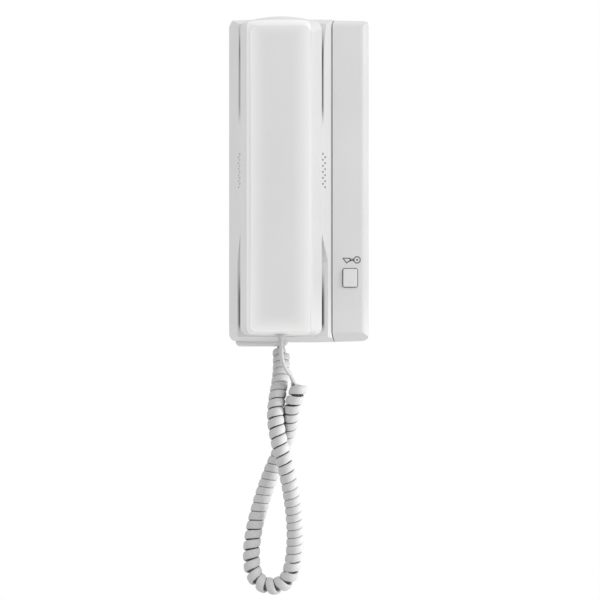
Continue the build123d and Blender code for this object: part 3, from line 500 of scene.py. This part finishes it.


# %% [markdown]
# ### White mouldings
# The housing is ABS in a cool white, straight from a mould with a very fine grain. It is
# satin: flat faces look even, and the rounded edges catch a soft light. The handset is a
# little smoother than the cradle, because hands polish it. The button, moulded by itself,
# is a touch paler.

# %% White finishes
# The last setting of the wall and button finishes is the strength of their painted shade in deep slots
wall_white = make_finish(
    "satin white moulding", pale=(0.705, 0.705, 0.705), deep=(0.675, 0.675, 0.677),
    worn=(0.74, 0.74, 0.735), dusty=(0.46, 0.45, 0.43), roughness=(0.36, 0.44),
    grain_size=0.30, grain_depth=0.006, painted_shade=0.45,
)
handset_white = make_finish(
    "handled white moulding", pale=(0.715, 0.715, 0.715), deep=(0.69, 0.69, 0.692),
    worn=(0.75, 0.75, 0.745), dusty=(0.48, 0.47, 0.45), roughness=(0.28, 0.36),
    grain_size=0.26, grain_depth=0.004, wear_reach=1.0,
)
button_white = make_finish(
    "button white moulding", pale=(0.73, 0.73, 0.73), deep=(0.705, 0.705, 0.705),
    worn=(0.76, 0.76, 0.755), dusty=(0.46, 0.45, 0.43), roughness=(0.26, 0.33),
    grain_size=0.22, grain_depth=0.003, wear_reach=0.5, patch_size=8.0, painted_shade=0.3,
)
print("white finishes:", wall_white.name, handset_white.name, button_white.name)

# %% [markdown]
# ### Pale border of the handset's face
# The long flat face is painted whitest at its border and falls to the plain tone over a finger's
# width. This painted highlight stands in for the light that the face's crowned edges catch. The mask
# is the distance from the border, which one smooth minimum rounds at the corners.

# %% Helpers that paint over a finish
def object_axes(tree):
    """The object's own X, Y and Z, as sockets by name."""
    split = add_node(tree, "ShaderNodeSeparateXYZ")
    feed(tree, object_place(tree), split.inputs["Vector"])
    return split.outputs


def paint_over(material, mask, colour):
    """Mix a colour over the base colour that a material has so far."""
    tree = material.node_tree
    base = tree.nodes["Principled BSDF"].inputs["Base Color"]
    feed(tree, mix_colours(tree, mask, base.links[0].from_socket, colour), base)


# %% Painted highlight at the border of the face
shell_low, shell_high = (Vector(corner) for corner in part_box("handset_front_shell"))
face_left = shell_low.x + 4.6 * MM
face_right = shell_high.x - 7.7 * MM
face_top = shell_high.z - 3.2 * MM
face_bottom = shell_low.z + 1.4 * MM
highlight_reach = 13.5 * MM
highlight_fall = 1.5
# Paler tone of the painted highlight, standing in for light on the face's crowned edges
painted_highlight_white = (0.895, 0.895, 0.89)


def paint_face_highlight(material):
    """Mix a painted highlight, a paler tone, into the base colour near the face's border."""
    tree = material.node_tree
    axes = object_axes(tree)
    insides = []
    for axis_name, low, high in (("X", face_left, face_right), ("Z", face_bottom, face_top)):
        off_centre = add_math(tree, "SUBTRACT", axes[axis_name], (low + high) / 2)
        apart = add_math(tree, "ABSOLUTE", off_centre)
        insides.append(add_math(tree, "SUBTRACT", (high - low) / 2, apart))
    inside = add_math(tree, "SMOOTH_MIN", *insides, highlight_reach / 2)
    within = add_math(tree, "GREATER_THAN", inside, 0)
    near = add_math(tree, "SUBTRACT", 1, add_math(tree, "DIVIDE", inside, highlight_reach))
    fall = add_math(tree, "POWER", add_math(tree, "MAXIMUM", near, 0), highlight_fall)
    paint_over(material, add_math(tree, "MULTIPLY", fall, within), painted_highlight_white)


# Painted highlight along the border of the handset's face
paint_face_highlight(handset_white)
print("painted highlight:", round(highlight_reach / MM, 1), "mm deep")

# %% [markdown]
# ### Grime along the handset's rim
# Where the cradle falls away at the ear and at the mouthpiece, a slot is left beside the handset. A
# near-black line of painted shadow is laid there, standing in for the deep shade of the slot, most of
# all at the lower right. Each line is a mask made of the distance from the handset's outline and of a
# stretch of height. The lower one also asks how near the handset is, so it fades when the handset is
# lifted. The upper one is narrower and marks only the cradle's front, where its crest stands beside
# the ear.

# %% Sizes of the painted shadow
# Near-black colour of the painted shadow in the slot beside the handset
painted_shadow_colour = (0.02, 0.019, 0.018)
left_share = 0.8
fade_under_share = 2.5

lower_width = 1.7 * MM
lower_heights = (-104.5 * MM, -97 * MM, -84 * MM, -57 * MM)
near_reach = 14  # in millimetres, as the shader group takes it
near_open_share = 0.97
near_shut_share = 0.8

upper_width = 1.3 * MM
upper_heights = (34 * MM, 50 * MM, 82 * MM, 103 * MM)
upper_amount = 0.92
upper_back = -8 * MM
print("painted shadow beside the handset:", round(lower_width / MM, 1), "mm wide below and",
      round(upper_width / MM, 1), "mm above")


# %% Painted shadow beside the handset
def multiplied(tree, *masks):
    """The product of several masks or numbers."""
    product = masks[0]
    for mask in masks[1:]:
        product = add_math(tree, "MULTIPLY", product, mask)
    return product


def between_heights(tree, height, heights):
    """A mask that rises over the first two heights and falls over the last two."""
    bottom, full_bottom, full_top, top = heights
    rising = map_range(tree, height, bottom, full_bottom, interpolation="SMOOTHSTEP")
    falling = map_range(tree, height, top, full_top, interpolation="SMOOTHSTEP")
    return multiplied(tree, rising, falling)


def rim_line(tree, from_rim, width):
    """A mask that is 1 at the handset's rim and falls off within a width outside it."""
    share_out = add_math(tree, "DIVIDE", add_math(tree, "MAXIMUM", from_rim, 0), width)
    squared = multiplied(tree, share_out, share_out)
    beside = add_math(tree, "EXPONENT", multiplied(tree, squared, squared, -1))
    under = map_range(
        tree, from_rim, -fade_under_share * width, -width, interpolation="SMOOTHSTEP"
    )
    return multiplied(tree, beside, under)


def paint_rim_shadow(material):
    """Mix painted shadow into the base colour along the handset's outline."""
    tree = material.node_tree
    axes = object_axes(tree)
    off_middle = add_math(tree, "SUBTRACT", axes["X"], (shell_low.x + shell_high.x) / 2)
    apart = add_math(tree, "ABSOLUTE", off_middle)
    from_rim = add_math(tree, "SUBTRACT", apart, (shell_high.x - shell_low.x) / 2)
    at_right = add_math(tree, "GREATER_THAN", off_middle, 0)
    side_share = map_range(tree, at_right, 0, 1, to_low=left_share)
    handset_near = place_group(
        tree, occlusion_shade, Reach=near_reach, Open_Share=near_open_share, Shut_Share=near_shut_share
    )
    lower = multiplied(
        tree, rim_line(tree, from_rim, lower_width), between_heights(tree, axes["Z"], lower_heights),
        handset_near.outputs["Mask"],
    )
    in_front = add_math(tree, "LESS_THAN", axes["Y"], upper_back)
    upper = multiplied(
        tree, rim_line(tree, from_rim, upper_width), between_heights(tree, axes["Z"], upper_heights),
        in_front, upper_amount,
    )
    both = add_math(tree, "MAXIMUM", lower, upper)
    paint_over(material, multiplied(tree, both, side_share), painted_shadow_colour)


# Painted shadow: a near-black line beside the handset's rim on the cradle's finish
paint_rim_shadow(wall_white)
print("nodes of the wall's finish:", len(wall_white.node_tree.nodes))

# %% [markdown]
# ### What lies inside
# The circuit board is green lacquer over glass cloth, the terminal block a deeper green
# nylon, the switches and the sounder black phenolic, the screws zinc-plated steel and the
# weight a rough iron casting. Rings and boots are a dull rubber. None shows from the
# front, but a reader who opens the model finds them finished.

# %% Inner finishes
board_green = make_finish(
    "green board lacquer", pale=(0.075, 0.26, 0.13), deep=(0.05, 0.20, 0.10),
    worn=(0.32, 0.33, 0.22), dusty=(0.22, 0.25, 0.20), roughness=(0.22, 0.34),
    grain_size=0.7, grain_depth=0.012, coat=0.3, wear_reach=0.4, patch_size=12.0,
)
terminal_green = make_finish(
    "green nylon", pale=(0.10, 0.38, 0.21), deep=(0.07, 0.31, 0.16),
    worn=(0.20, 0.46, 0.29), dusty=(0.25, 0.30, 0.25), roughness=(0.42, 0.55),
    grain_size=0.3, grain_depth=0.010, wear_reach=0.4, patch_size=10.0,
)
black_plastic = make_finish(
    "black phenolic", pale=(0.035, 0.035, 0.036), deep=(0.018, 0.018, 0.019),
    worn=(0.075, 0.075, 0.075), dusty=(0.15, 0.145, 0.135), roughness=(0.38, 0.52),
    grain_size=0.35, grain_depth=0.012, wear_reach=0.4, patch_size=14.0,
)
dark_rubber = make_finish(
    "dull black rubber", pale=(0.045, 0.044, 0.043), deep=(0.028, 0.027, 0.027),
    worn=(0.09, 0.088, 0.085), dusty=(0.20, 0.195, 0.18), roughness=(0.68, 0.82),
    grain_size=0.4, grain_depth=0.02, wear_reach=0.5, patch_size=10.0, dust=0.6,
)
screw_steel = make_finish(
    "zinc plated steel", pale=(0.66, 0.665, 0.68), deep=(0.55, 0.555, 0.57),
    worn=(0.78, 0.78, 0.78), dusty=(0.28, 0.26, 0.23), roughness=(0.26, 0.40),
    grain_size=0.25, grain_depth=0.006, metallic=1.0, wear_reach=0.25, patch_size=3.0,
)
weight_iron = make_finish(
    "sand cast iron", pale=(0.33, 0.325, 0.32), deep=(0.20, 0.195, 0.19),
    worn=(0.48, 0.47, 0.46), dusty=(0.30, 0.22, 0.16), roughness=(0.52, 0.72),
    grain_size=0.9, grain_depth=0.09, metallic=0.85, wear_reach=0.6, patch_size=9.0,
)
inner_finishes = (board_green, terminal_green, black_plastic, dark_rubber, screw_steel, weight_iron)
print("inner finishes:", [finish.name for finish in inner_finishes])

# %% [markdown]
# ### Vinyl of the cord
# The cord's jacket and its boots are soft vinyl in the same white. It is duller than the
# housing, so its specular level is low and each turn shades off evenly from right to left.

# %% Cord finish
cord_specular = 0.25

cord_white = make_finish(
    "soft white vinyl", pale=(0.58, 0.58, 0.58), deep=(0.54, 0.54, 0.54),
    worn=(0.61, 0.61, 0.605), dusty=(0.50, 0.49, 0.47), roughness=(0.50, 0.60),
    grain_size=0.6, grain_depth=0.008, wear_reach=0.5, patch_size=18.0, dust=0.3,
)
cord_shader = cord_white.node_tree.nodes["Principled BSDF"]
cord_shader.inputs["Specular IOR Level"].default_value = cord_specular
print("cord finish:", cord_white.name)

# %% [markdown]
# ### Each CAD piece takes its finish
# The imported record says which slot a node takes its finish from. The white slot is split
# in three here: the handset's shells, the button, and all that stays on the wall.

# %% Put the finishes on the CAD nodes
finish_of_slot = {
    "white_abs": wall_white,
    "cord_white": cord_white,
    "screw_steel": screw_steel,
    "weight_steel": weight_iron,
    "board_green": board_green,
    "terminal_green": terminal_green,
    "black_plastic": black_plastic,
    "dark_rubber": dark_rubber,
}
finish_of_node = {
    "handset_front_shell": handset_white,
    "handset_rear_shell": handset_white,
    "door_button": button_white,
}
for subpart in frame["record"]["subparts"]:
    node_name = subpart["node"]
    finish = finish_of_node.get(node_name, finish_of_slot[subpart["material_slot"]])
    nodes[node_name].data.materials.clear()
    nodes[node_name].data.materials.append(finish)

# %% [markdown]
# ## Curly cord
# A handset cord is a flat vinyl strip wound on a rod and set with heat, so each turn
# shows as a rounded band about 5 mm wide. It leaves a boot in the wall plate's lower
# block, hangs in a crossed loop, and its last 40 mm run up to the handset without a curl.
# The line that the curls follow is one smooth curve led by listed points, and the strip is a flat tube
# swept along a helix round it.

# %% Route of the cord
cord_exit = Vector((-12.4, -5.5, -115)) * MM
coil_route = [
    (-12.3, -6, -118.5), (-12.0, -9.5, -127), (-12.9, -15.5, -138), (-15.3, -21.5, -150),
    (-16.3, -25, -163), (-13.2, -27, -179.5), (-9, -27, -194), (-5.4, -25, -210.5),
    (-2.7, -22, -232), (-2.6, -19.5, -250), (-4.6, -18, -264.3), (-7.3, -17, -272.3),
    (-14.3, -16, -277.2), (-22.9, -14.5, -277.2), (-29.9, -13, -272.3), (-32.9, -12, -262),
    (-32.1, -10.5, -244), (-26.2, -9, -220.5), (-18.7, -8.5, -199), (-11.2, -9, -183),
    (-6.9, -16, -170), (-5.3, -21, -160.5), (-3.8, -24.8, -151.5), (-0.5, -25.8, -143),
]
tail_route = [
    (0.6, -22.5, -136.5), (-5.6, -30, -132.3), (-10.2, -39, -126), (-11.8, -44.8, -119.5),
    (-12, -46, -114), (-12, -46, -106.5),
]
route = [cord_exit] + [Vector(point) * MM for point in coil_route + tail_route]

route_curve = bpy.data.curves.new("cord_route", "CURVE")
route_curve.dimensions = "3D"
route_curve.resolution_u = 64
route_spline = route_curve.splines.new("NURBS")
route_spline.points.add(len(route) - 1)
for spline_point, place in zip(route_spline.points, route):
    spline_point.co = (*place, 1)
route_spline.order_u = 3
route_spline.use_endpoint_u = True
route_object = bpy.data.objects.new("cord_route", route_curve)
line_mesh = bpy.data.meshes.new_from_object(route_object)
line = [vertex.co.copy() for vertex in line_mesh.vertices]
bpy.data.objects.remove(route_object)
print("route points:", len(route), "line points:", len(line))

# %% [markdown]
# The line is read again at even steps, and a pair of cross directions is carried along it
# without twist, so that the helix doesn't wind up or run slack where the line bends.

# %% Even steps and carried directions
shortest_span = 1e-12


def running_length(points):
    """Distance along the points, one number for each."""
    total = [0.0]
    for before, after in zip(points, points[1:]):
        total.append(total[-1] + (after - before).length)
    return total


def at_even_steps(points, count):
    """The same line as count + 1 points with equal distances."""
    lengths = running_length(points)
    placed = []
    span = 0
    for step_number in range(count + 1):
        wanted = lengths[-1] * step_number / count
        while span < len(points) - 2 and lengths[span + 1] < wanted:
            span += 1
        share = (wanted - lengths[span]) / max(lengths[span + 1] - lengths[span], shortest_span)
        placed.append(points[span].lerp(points[span + 1], min(share, 1)))
    return placed


def directions_along(points):
    """Unit direction at each point."""
    last = len(points) - 1
    return [
        (points[min(number + 1, last)] - points[max(number - 1, 0)]).normalized()
        for number in range(last + 1)
    ]


def carried_across(directions, start):
    """A cross direction at each point, turned only as the line turns."""
    across = (start - directions[0] * start.dot(directions[0])).normalized()
    carried = [across]
    for before, after in zip(directions, directions[1:]):
        across = before.rotation_difference(after) @ across
        across = (across - after * across.dot(after)).normalized()
        carried.append(across)
    return carried


line_places = running_length(line)
print("line length:", round(line_places[-1], 4), "m")

# %% [markdown]
# The strip comes straight out of the boot, swings out to the coil's radius and starts to
# turn. At the coil's top end the turning dies away on the coil's left side, so that the
# strip leaves along its own tangent and the camera sees the tail edge-on, as a thin line.

# %% Sizes of the coil and its axis
turns = 54
steps_per_turn = 32
helix_radius = 4.5 * MM
strip_width = 5.8 * MM
strip_thickness = 2.7 * MM
coil_start = 0.2 * MM
opening = 2.4 * MM
coil_top = -140.0 * MM
slowing = 2.5 * MM
fading = 16 * MM

coil_end = max(reached for reached, place in zip(line_places, line) if place.z < coil_top)
pitch = (coil_end - coil_start) / turns
step = pitch / steps_per_turn
axis = at_even_steps(line, round(line_places[-1] / step))
axis_directions = directions_along(axis)
axis_across = carried_across(axis_directions, Vector((1, 0, 0)))
axis_places = running_length(axis)
print("turns:", turns, "mean pitch:", round(pitch / MM, 2), "mm")

# %% [markdown]
# A cord in use isn't wound evenly: it is drawn out where it carries its own weight and
# crowded elsewhere. The pitch is given at even steps along the coil as a share of the
# mean. Places along the coil are drawn out or in by it, and the helix is then turned at
# a steady rate over those places.

# %% Pitch that changes along the coil
pitch_shares = [0.85, 0.92, 1.06, 1.03, 0.88, 0.9, 1.22, 1.2, 1.08, 0.92, 0.9, 1.02, 1.04]


def pitch_share(reached):
    """The pitch at a place of the coil, as a share of the mean."""
    gone = min(max((reached - coil_start) / (coil_end - coil_start), 0), 1)
    spot = gone * (len(pitch_shares) - 1)
    first = min(int(spot), len(pitch_shares) - 2)
    return pitch_shares[first] + (spot - first) * (pitch_shares[first + 1] - pitch_shares[first])


drawn = [0.0]
for before, after in zip(axis_places, axis_places[1:]):
    drawn.append(drawn[-1] + (after - before) / pitch_share((before + after) / 2))
on_coil = [number for number, reached in enumerate(axis_places) if coil_start <= reached <= coil_end]
first_point = on_coil[0]
last_point = on_coil[-1]
coil_length = axis_places[last_point] - axis_places[first_point]
draw_scale = coil_length / (drawn[last_point] - drawn[first_point])
wound_places = [
    axis_places[first_point] + (reached - drawn[first_point]) * draw_scale for reached in drawn
]
print("closest pitch:", round(pitch * min(pitch_shares) / draw_scale / MM, 2), "mm")


# %% How far the helix has turned
def eased(share):
    """A smooth rise from 0 to 1."""
    share = min(max(share, 0), 1)
    return share * share * (3 - 2 * share)


def turned(reached):
    """How far the helix has turned, in turns: a steady rate with a soft start and end."""
    if reached < coil_start:
        return 0
    if reached < coil_start + opening:
        return (reached - coil_start) ** 2 / (2 * opening) / pitch
    if reached < coil_end:
        return (reached - coil_start - opening / 2) / pitch
    late = min(reached - coil_end, slowing)
    return (coil_end - coil_start - opening / 2 + late - late ** 2 / (2 * slowing)) / pitch


def outward_at(number, angle):
    """Direction away from the line at a point of it, at an angle round it."""
    across = axis_across[number]
    return across * math.cos(angle) + axis_directions[number].cross(across) * math.sin(angle)


def distance_from_last_turn(number):
    """How far a point of the axis is from the place where the turning has died away."""
    return abs(wound_places[number] - coil_end - slowing)


# The helix is turned as a whole so that it ends on the coil's left side
last_turning = min(range(len(axis)), key=distance_from_last_turn)
left = Vector((-1, 0, 0))
left_ahead = left.dot(outward_at(last_turning, 0))
left_aside = left.dot(outward_at(last_turning, QUARTER))
start_angle = math.atan2(left_aside, left_ahead) - TURN * turned(coil_end + slowing)
print("helix starts at:", round(math.degrees(start_angle) % 360), "degrees")

# %% [markdown]
# Where the line bends, the turns crowd on the inside and spread on the outside. The strip
# gives way there: it is never wider than the pitch leaves room for on its own side.

# %% Path and width of the strip
fill_share = 0.985
half_window = steps_per_turn // 2

strip_path = []
strip_outward = []
strip_widths = []
for number, (place, along, reached) in enumerate(zip(axis, axis_directions, axis_places)):
    outward = outward_at(number, start_angle + TURN * turned(wound_places[number]))
    opened = eased((reached - coil_start) / opening)
    faded = eased((reached - coil_end) / fading)
    strip_path.append(place + outward * helix_radius * opened * (1 - faded))
    strip_outward.append(outward)
    before = max(number - half_window, 0)
    after = min(number + half_window, len(axis) - 1)
    turning = axis_directions[after] - axis_directions[before]
    bend = turning / (axis_places[after] - axis_places[before])
    mean_room = pitch * pitch_share(reached) / draw_scale
    room = mean_room * (1 - helix_radius * bend.dot(outward))
    strip_widths.append(min(strip_width, fill_share * room))
print("strip length:", round(running_length(strip_path)[-1], 4), "m")
print("narrowest band:", round(min(strip_widths) / MM, 2), "mm")

# %% [markdown]
# The strip's section is a cushion: crowned faces and full round edges. It lies flat on the
# coil, its width along the line and its thickness outward. Rings of vertices along the
# path are joined into a skin, because a bevelled curve can't change its width on one axis.

# %% Helpers that make a piece from rings
def skin_rings(shape, rings, looped=False):
    """Faces between neighbouring rings, and a cap at both ends of a row that isn't looped."""
    pairs = list(zip(rings, rings[1:]))
    if looped:
        pairs.append((rings[-1], rings[0]))
    for ring, next_ring in pairs:
        for number in range(len(ring)):
            other = (number + 1) % len(ring)
            shape.faces.new((ring[number], ring[other], next_ring[other], next_ring[number]))
    if not looped:
        shape.faces.new(list(reversed(rings[0])))
        shape.faces.new(rings[-1])


def make_piece(name, shape, material):
    """An object made from a shape, with its faces turned outward."""
    bmesh.ops.recalc_face_normals(shape, faces=shape.faces)
    mesh = bpy.data.meshes.new(name)
    shape.to_mesh(mesh)
    shape.free()
    mesh.materials.append(material)
    piece = bpy.data.objects.new(name, mesh)
    bpy.context.scene.collection.objects.link(piece)
    return piece


# %% Section of the strip
section_points = 16
fullness = 0.82


def cushioned(value):
    """A sine or cosine pushed outward, so that the section is fuller than an oval."""
    return math.copysign(abs(value) ** fullness, value)


unit_section = []
for number in range(section_points):
    angle = TURN * number / section_points
    unit_section.append((cushioned(math.cos(angle)), cushioned(math.sin(angle))))
print("section points:", len(unit_section))


# %% Sweep the strip
def sweep_strip(name, path, outward_directions, widths):
    """A closed tube of the strip's section along the path."""
    shape = bmesh.new()
    rings = []
    for place, along, outward, width in zip(path, directions_along(path), outward_directions, widths):
        up = (outward - along * outward.dot(along)).normalized()
        side = along.cross(up)
        rings.append([
            shape.verts.new(place + side * (wide * width / 2) + up * (thick * strip_thickness / 2))
            for wide, thick in unit_section
        ])
    skin_rings(shape, rings)
    strip = make_piece(name, shape, cord_white)
    strip.data.polygons.foreach_set("use_smooth", [True] * len(strip.data.polygons))
    return strip


curly_cord = sweep_strip("curly_cord", strip_path, strip_outward, strip_widths)
print("cord faces:", len(curly_cord.data.polygons))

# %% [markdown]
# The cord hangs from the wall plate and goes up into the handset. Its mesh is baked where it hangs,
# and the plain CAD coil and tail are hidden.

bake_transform(curly_cord)
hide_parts("cord_coil", "cord_tail")

# %% [markdown]
# ### Boot at the handset
# The cord goes up into a soft vinyl boot. Inside the shell it is a round collar. Outside
# it draws in to an oval that hugs the flat cord, so from the front only a slim sleeve shows.

# %% Boot that hugs the cord
boot_low, boot_high = (Vector(corner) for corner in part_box("handset_cord_boot"))
shell_foot = shell_low.z
boot_x = (boot_low.x + boot_high.x) / 2
boot_y = (boot_low.y + boot_high.y) / 2
collar_radius = (boot_high.x - boot_low.x) / 2
collar_height = 1.4 * MM
sleeve_radius = 3.25 * MM
sleeve_sides = 40
sharp_angle = math.radians(50)
boot_rings = [
    (boot_low.z + 0.5 * MM, 1.50 * MM, 2.90 * MM),
    (boot_low.z + 0.7 * MM, 1.85 * MM, 3.10 * MM),
    (boot_low.z + 1.7 * MM, 2.05 * MM, 3.20 * MM),
    (shell_foot - 0.6 * MM, 2.60 * MM, sleeve_radius),
    (shell_foot + 0.2 * MM, sleeve_radius, sleeve_radius),
    (boot_high.z - collar_height, sleeve_radius, sleeve_radius),
    (boot_high.z - collar_height, collar_radius, collar_radius),
    (boot_high.z, collar_radius, collar_radius),
]


def build_boot():
    """The boot as a closed skin through its rings."""
    shape = bmesh.new()
    rings = []
    for height, half_x, half_y in boot_rings:
        ring = []
        for number in range(sleeve_sides):
            angle = TURN * number / sleeve_sides
            ring.append(shape.verts.new(
                (boot_x + half_x * math.cos(angle), boot_y + half_y * math.sin(angle), height)
            ))
        rings.append(ring)
    skin_rings(shape, rings)
    boot = make_piece("handset_boot", shape, cord_white)
    boot.data.polygons.foreach_set(
        "use_smooth", [len(face.vertices) == 4 for face in boot.data.polygons]
    )
    boot.data.set_sharp_from_angle(angle=sharp_angle)
    return boot


handset_boot = build_boot()
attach(handset_boot, "handset")
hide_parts("handset_cord_boot")
print("boot faces:", len(handset_boot.data.polygons))

# %% [markdown]
# ## Key above the door button
# A small key is printed on the panel to say what the button does. It is drawn here as
# thin raised ink in plain shapes: an eight-sided bow with a dot in it, a shaft of two
# lines, and a slanted bit. Raised strokes need no picture and stay sharp at any distance.

# %% Ink
ink = make_finish(
    "printed dark ink", pale=(0.055, 0.057, 0.06), deep=(0.035, 0.036, 0.038),
    worn=(0.12, 0.12, 0.12), dusty=(0.2, 0.2, 0.19), roughness=(0.45, 0.6),
    grain_size=0.2, grain_depth=0.004, wear_reach=0.2, patch_size=3.0, dust=0.2,
)
print("ink:", ink.name)

# %% Lines of the key
panel_face = Vector(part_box("side_panel")[0]).y
ink_height = 0.06 * MM
line_width = 0.62 * MM
sharpest_mitre = 0.5
bow_x = 39.4 * MM
key_height = -54.5 * MM
bow_radius = 2.25 * MM
bow_sides = 8
bow_dot_radius = 0.35 * MM
bow_dot_sides = 12
shaft_end_x = 34.6 * MM
shaft_half = 0.45 * MM
bit_end_x = 29.9 * MM
bit_top = 1.1 * MM
bit_foot = 0.9 * MM
bit_corners = [
    (shaft_end_x, key_height + bit_top),
    (bit_end_x, key_height + bit_top),
    (bit_end_x + 1.0 * MM, key_height - 0.3 * MM),
    (bit_end_x + 2.5 * MM, key_height - 2.1 * MM),
    (shaft_end_x - 0.9 * MM, key_height - bit_foot),
    (shaft_end_x, key_height - bit_foot),
]
print("key:", round((bow_x + bow_radius - bit_end_x) / MM, 1), "mm wide")


# %% Strokes of ink
def add_stroke(shape, corners, looped=False):
    """A raised line of even width through the corners, as (x, z), mitred where it turns."""
    count = len(corners)
    points = [Vector(corner) for corner in corners]
    rings = []
    for number, point in enumerate(points):
        before = points[number - 1] if looped or number > 0 else None
        after = points[(number + 1) % count] if looped or number < count - 1 else None
        into = ((point - before) if before is not None else (after - point)).normalized()
        onward = (after - point).normalized() if after is not None else into
        mitre = (into + onward).normalized()
        normal = Vector((-mitre.y, mitre.x))
        reach = line_width / 2 / max(mitre.dot(into), sharpest_mitre)
        left_side = point + normal * reach
        right_side = point - normal * reach
        section = ((left_side, 0), (left_side, ink_height), (right_side, ink_height), (right_side, 0))
        rings.append([
            shape.verts.new((place.x, panel_face - height, place.y)) for place, height in section
        ])
    skin_rings(shape, rings, looped)


def polygon(centre_x, centre_z, radius, sides):
    """Corners of a regular shape with flat sides up and down."""
    angles = [math.pi / sides + TURN * number / sides for number in range(sides)]
    return [
        (centre_x + radius * math.cos(angle), centre_z + radius * math.sin(angle))
        for angle in angles
    ]


# %% Build the key
def build_key():
    """The key as one mesh that lies on the panel's face."""
    shape = bmesh.new()
    add_stroke(shape, polygon(bow_x, key_height, bow_radius, bow_sides), looped=True)
    add_stroke(shape, polygon(bow_x, key_height, bow_dot_radius, bow_dot_sides), looped=True)
    shaft_start_x = bow_x - bow_radius
    for side in (shaft_half, -shaft_half):
        add_stroke(shape, [(shaft_start_x, key_height + side), (shaft_end_x, key_height + side)])
    add_stroke(shape, bit_corners, looped=True)
    return make_piece("door_key_print", shape, ink)


door_key_print = build_key()
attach(door_key_print, "base")
print("key faces:", len(door_key_print.data.polygons))

# %% [markdown]
# ## Soft edges
# The housing and the handset have their roundings in the CAD. The door button's rim is
# sharp there, and no moulded edge is. A narrow bevel rounds it, and its hardened normals
# keep the flat face flat.

# %% Bevel the door button
button_edge = 0.22 * MM
bevel_angle = math.radians(28)


def soften(node_name, width):
    """A bevel on a CAD node's sharp edges."""
    bevel = nodes[node_name].modifiers.new("soft edges", "BEVEL")
    bevel.width = width
    bevel.segments = 3
    bevel.limit_method = "ANGLE"
    bevel.angle_limit = bevel_angle
    bevel.harden_normals = True
    bevel.use_clamp_overlap = True
    return bevel


button_bevel = soften("door_button", button_edge)
print("button's rounding:", round(button_bevel.width / MM, 2), "mm")

# %% [markdown]
# ## Floor paint
# The floor has a finish of its own, a shade paler than the phone. From below it would
# hide the phone, so its underside is left out of the picture.

# %% Floor finish
floor_paint = make_finish(
    "pale floor", pale=(0.84, 0.84, 0.835), deep=(0.81, 0.81, 0.805),
    worn=(0.84, 0.84, 0.835), dusty=(0.8, 0.8, 0.79), roughness=(0.6, 0.7),
    grain_size=1.5, grain_depth=0.05, patch_size=150.0, dust=0.05,
)
floor.data.materials.append(floor_paint)

# %% Floor that shows only from above
floor_tree = floor_paint.node_tree
floor_shader = floor_tree.nodes["Principled BSDF"]
floor_side = add_node(floor_tree, "ShaderNodeNewGeometry")
nothing = add_node(floor_tree, "ShaderNodeBsdfTransparent")
floor_choice = add_node(floor_tree, "ShaderNodeMixShader")
feed(floor_tree, floor_side.outputs["Backfacing"], floor_choice.inputs["Fac"])
feed(floor_tree, floor_shader.outputs["BSDF"], floor_choice.inputs[1])
feed(floor_tree, nothing.outputs["BSDF"], floor_choice.inputs[2])
feed(floor_tree, floor_choice.outputs["Shader"], floor_tree.nodes["Material Output"].inputs["Surface"])
print("floor finish:", floor_paint.name)

# %% Compare the sizes
visual_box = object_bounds()
growth = [
    round((visual - cad) / MM, 2)
    for cad_corner, visual_corner in zip(cad_box, visual_box)
    for cad, visual in zip(cad_corner, visual_corner)
]
print("size grew by (mm):", growth)
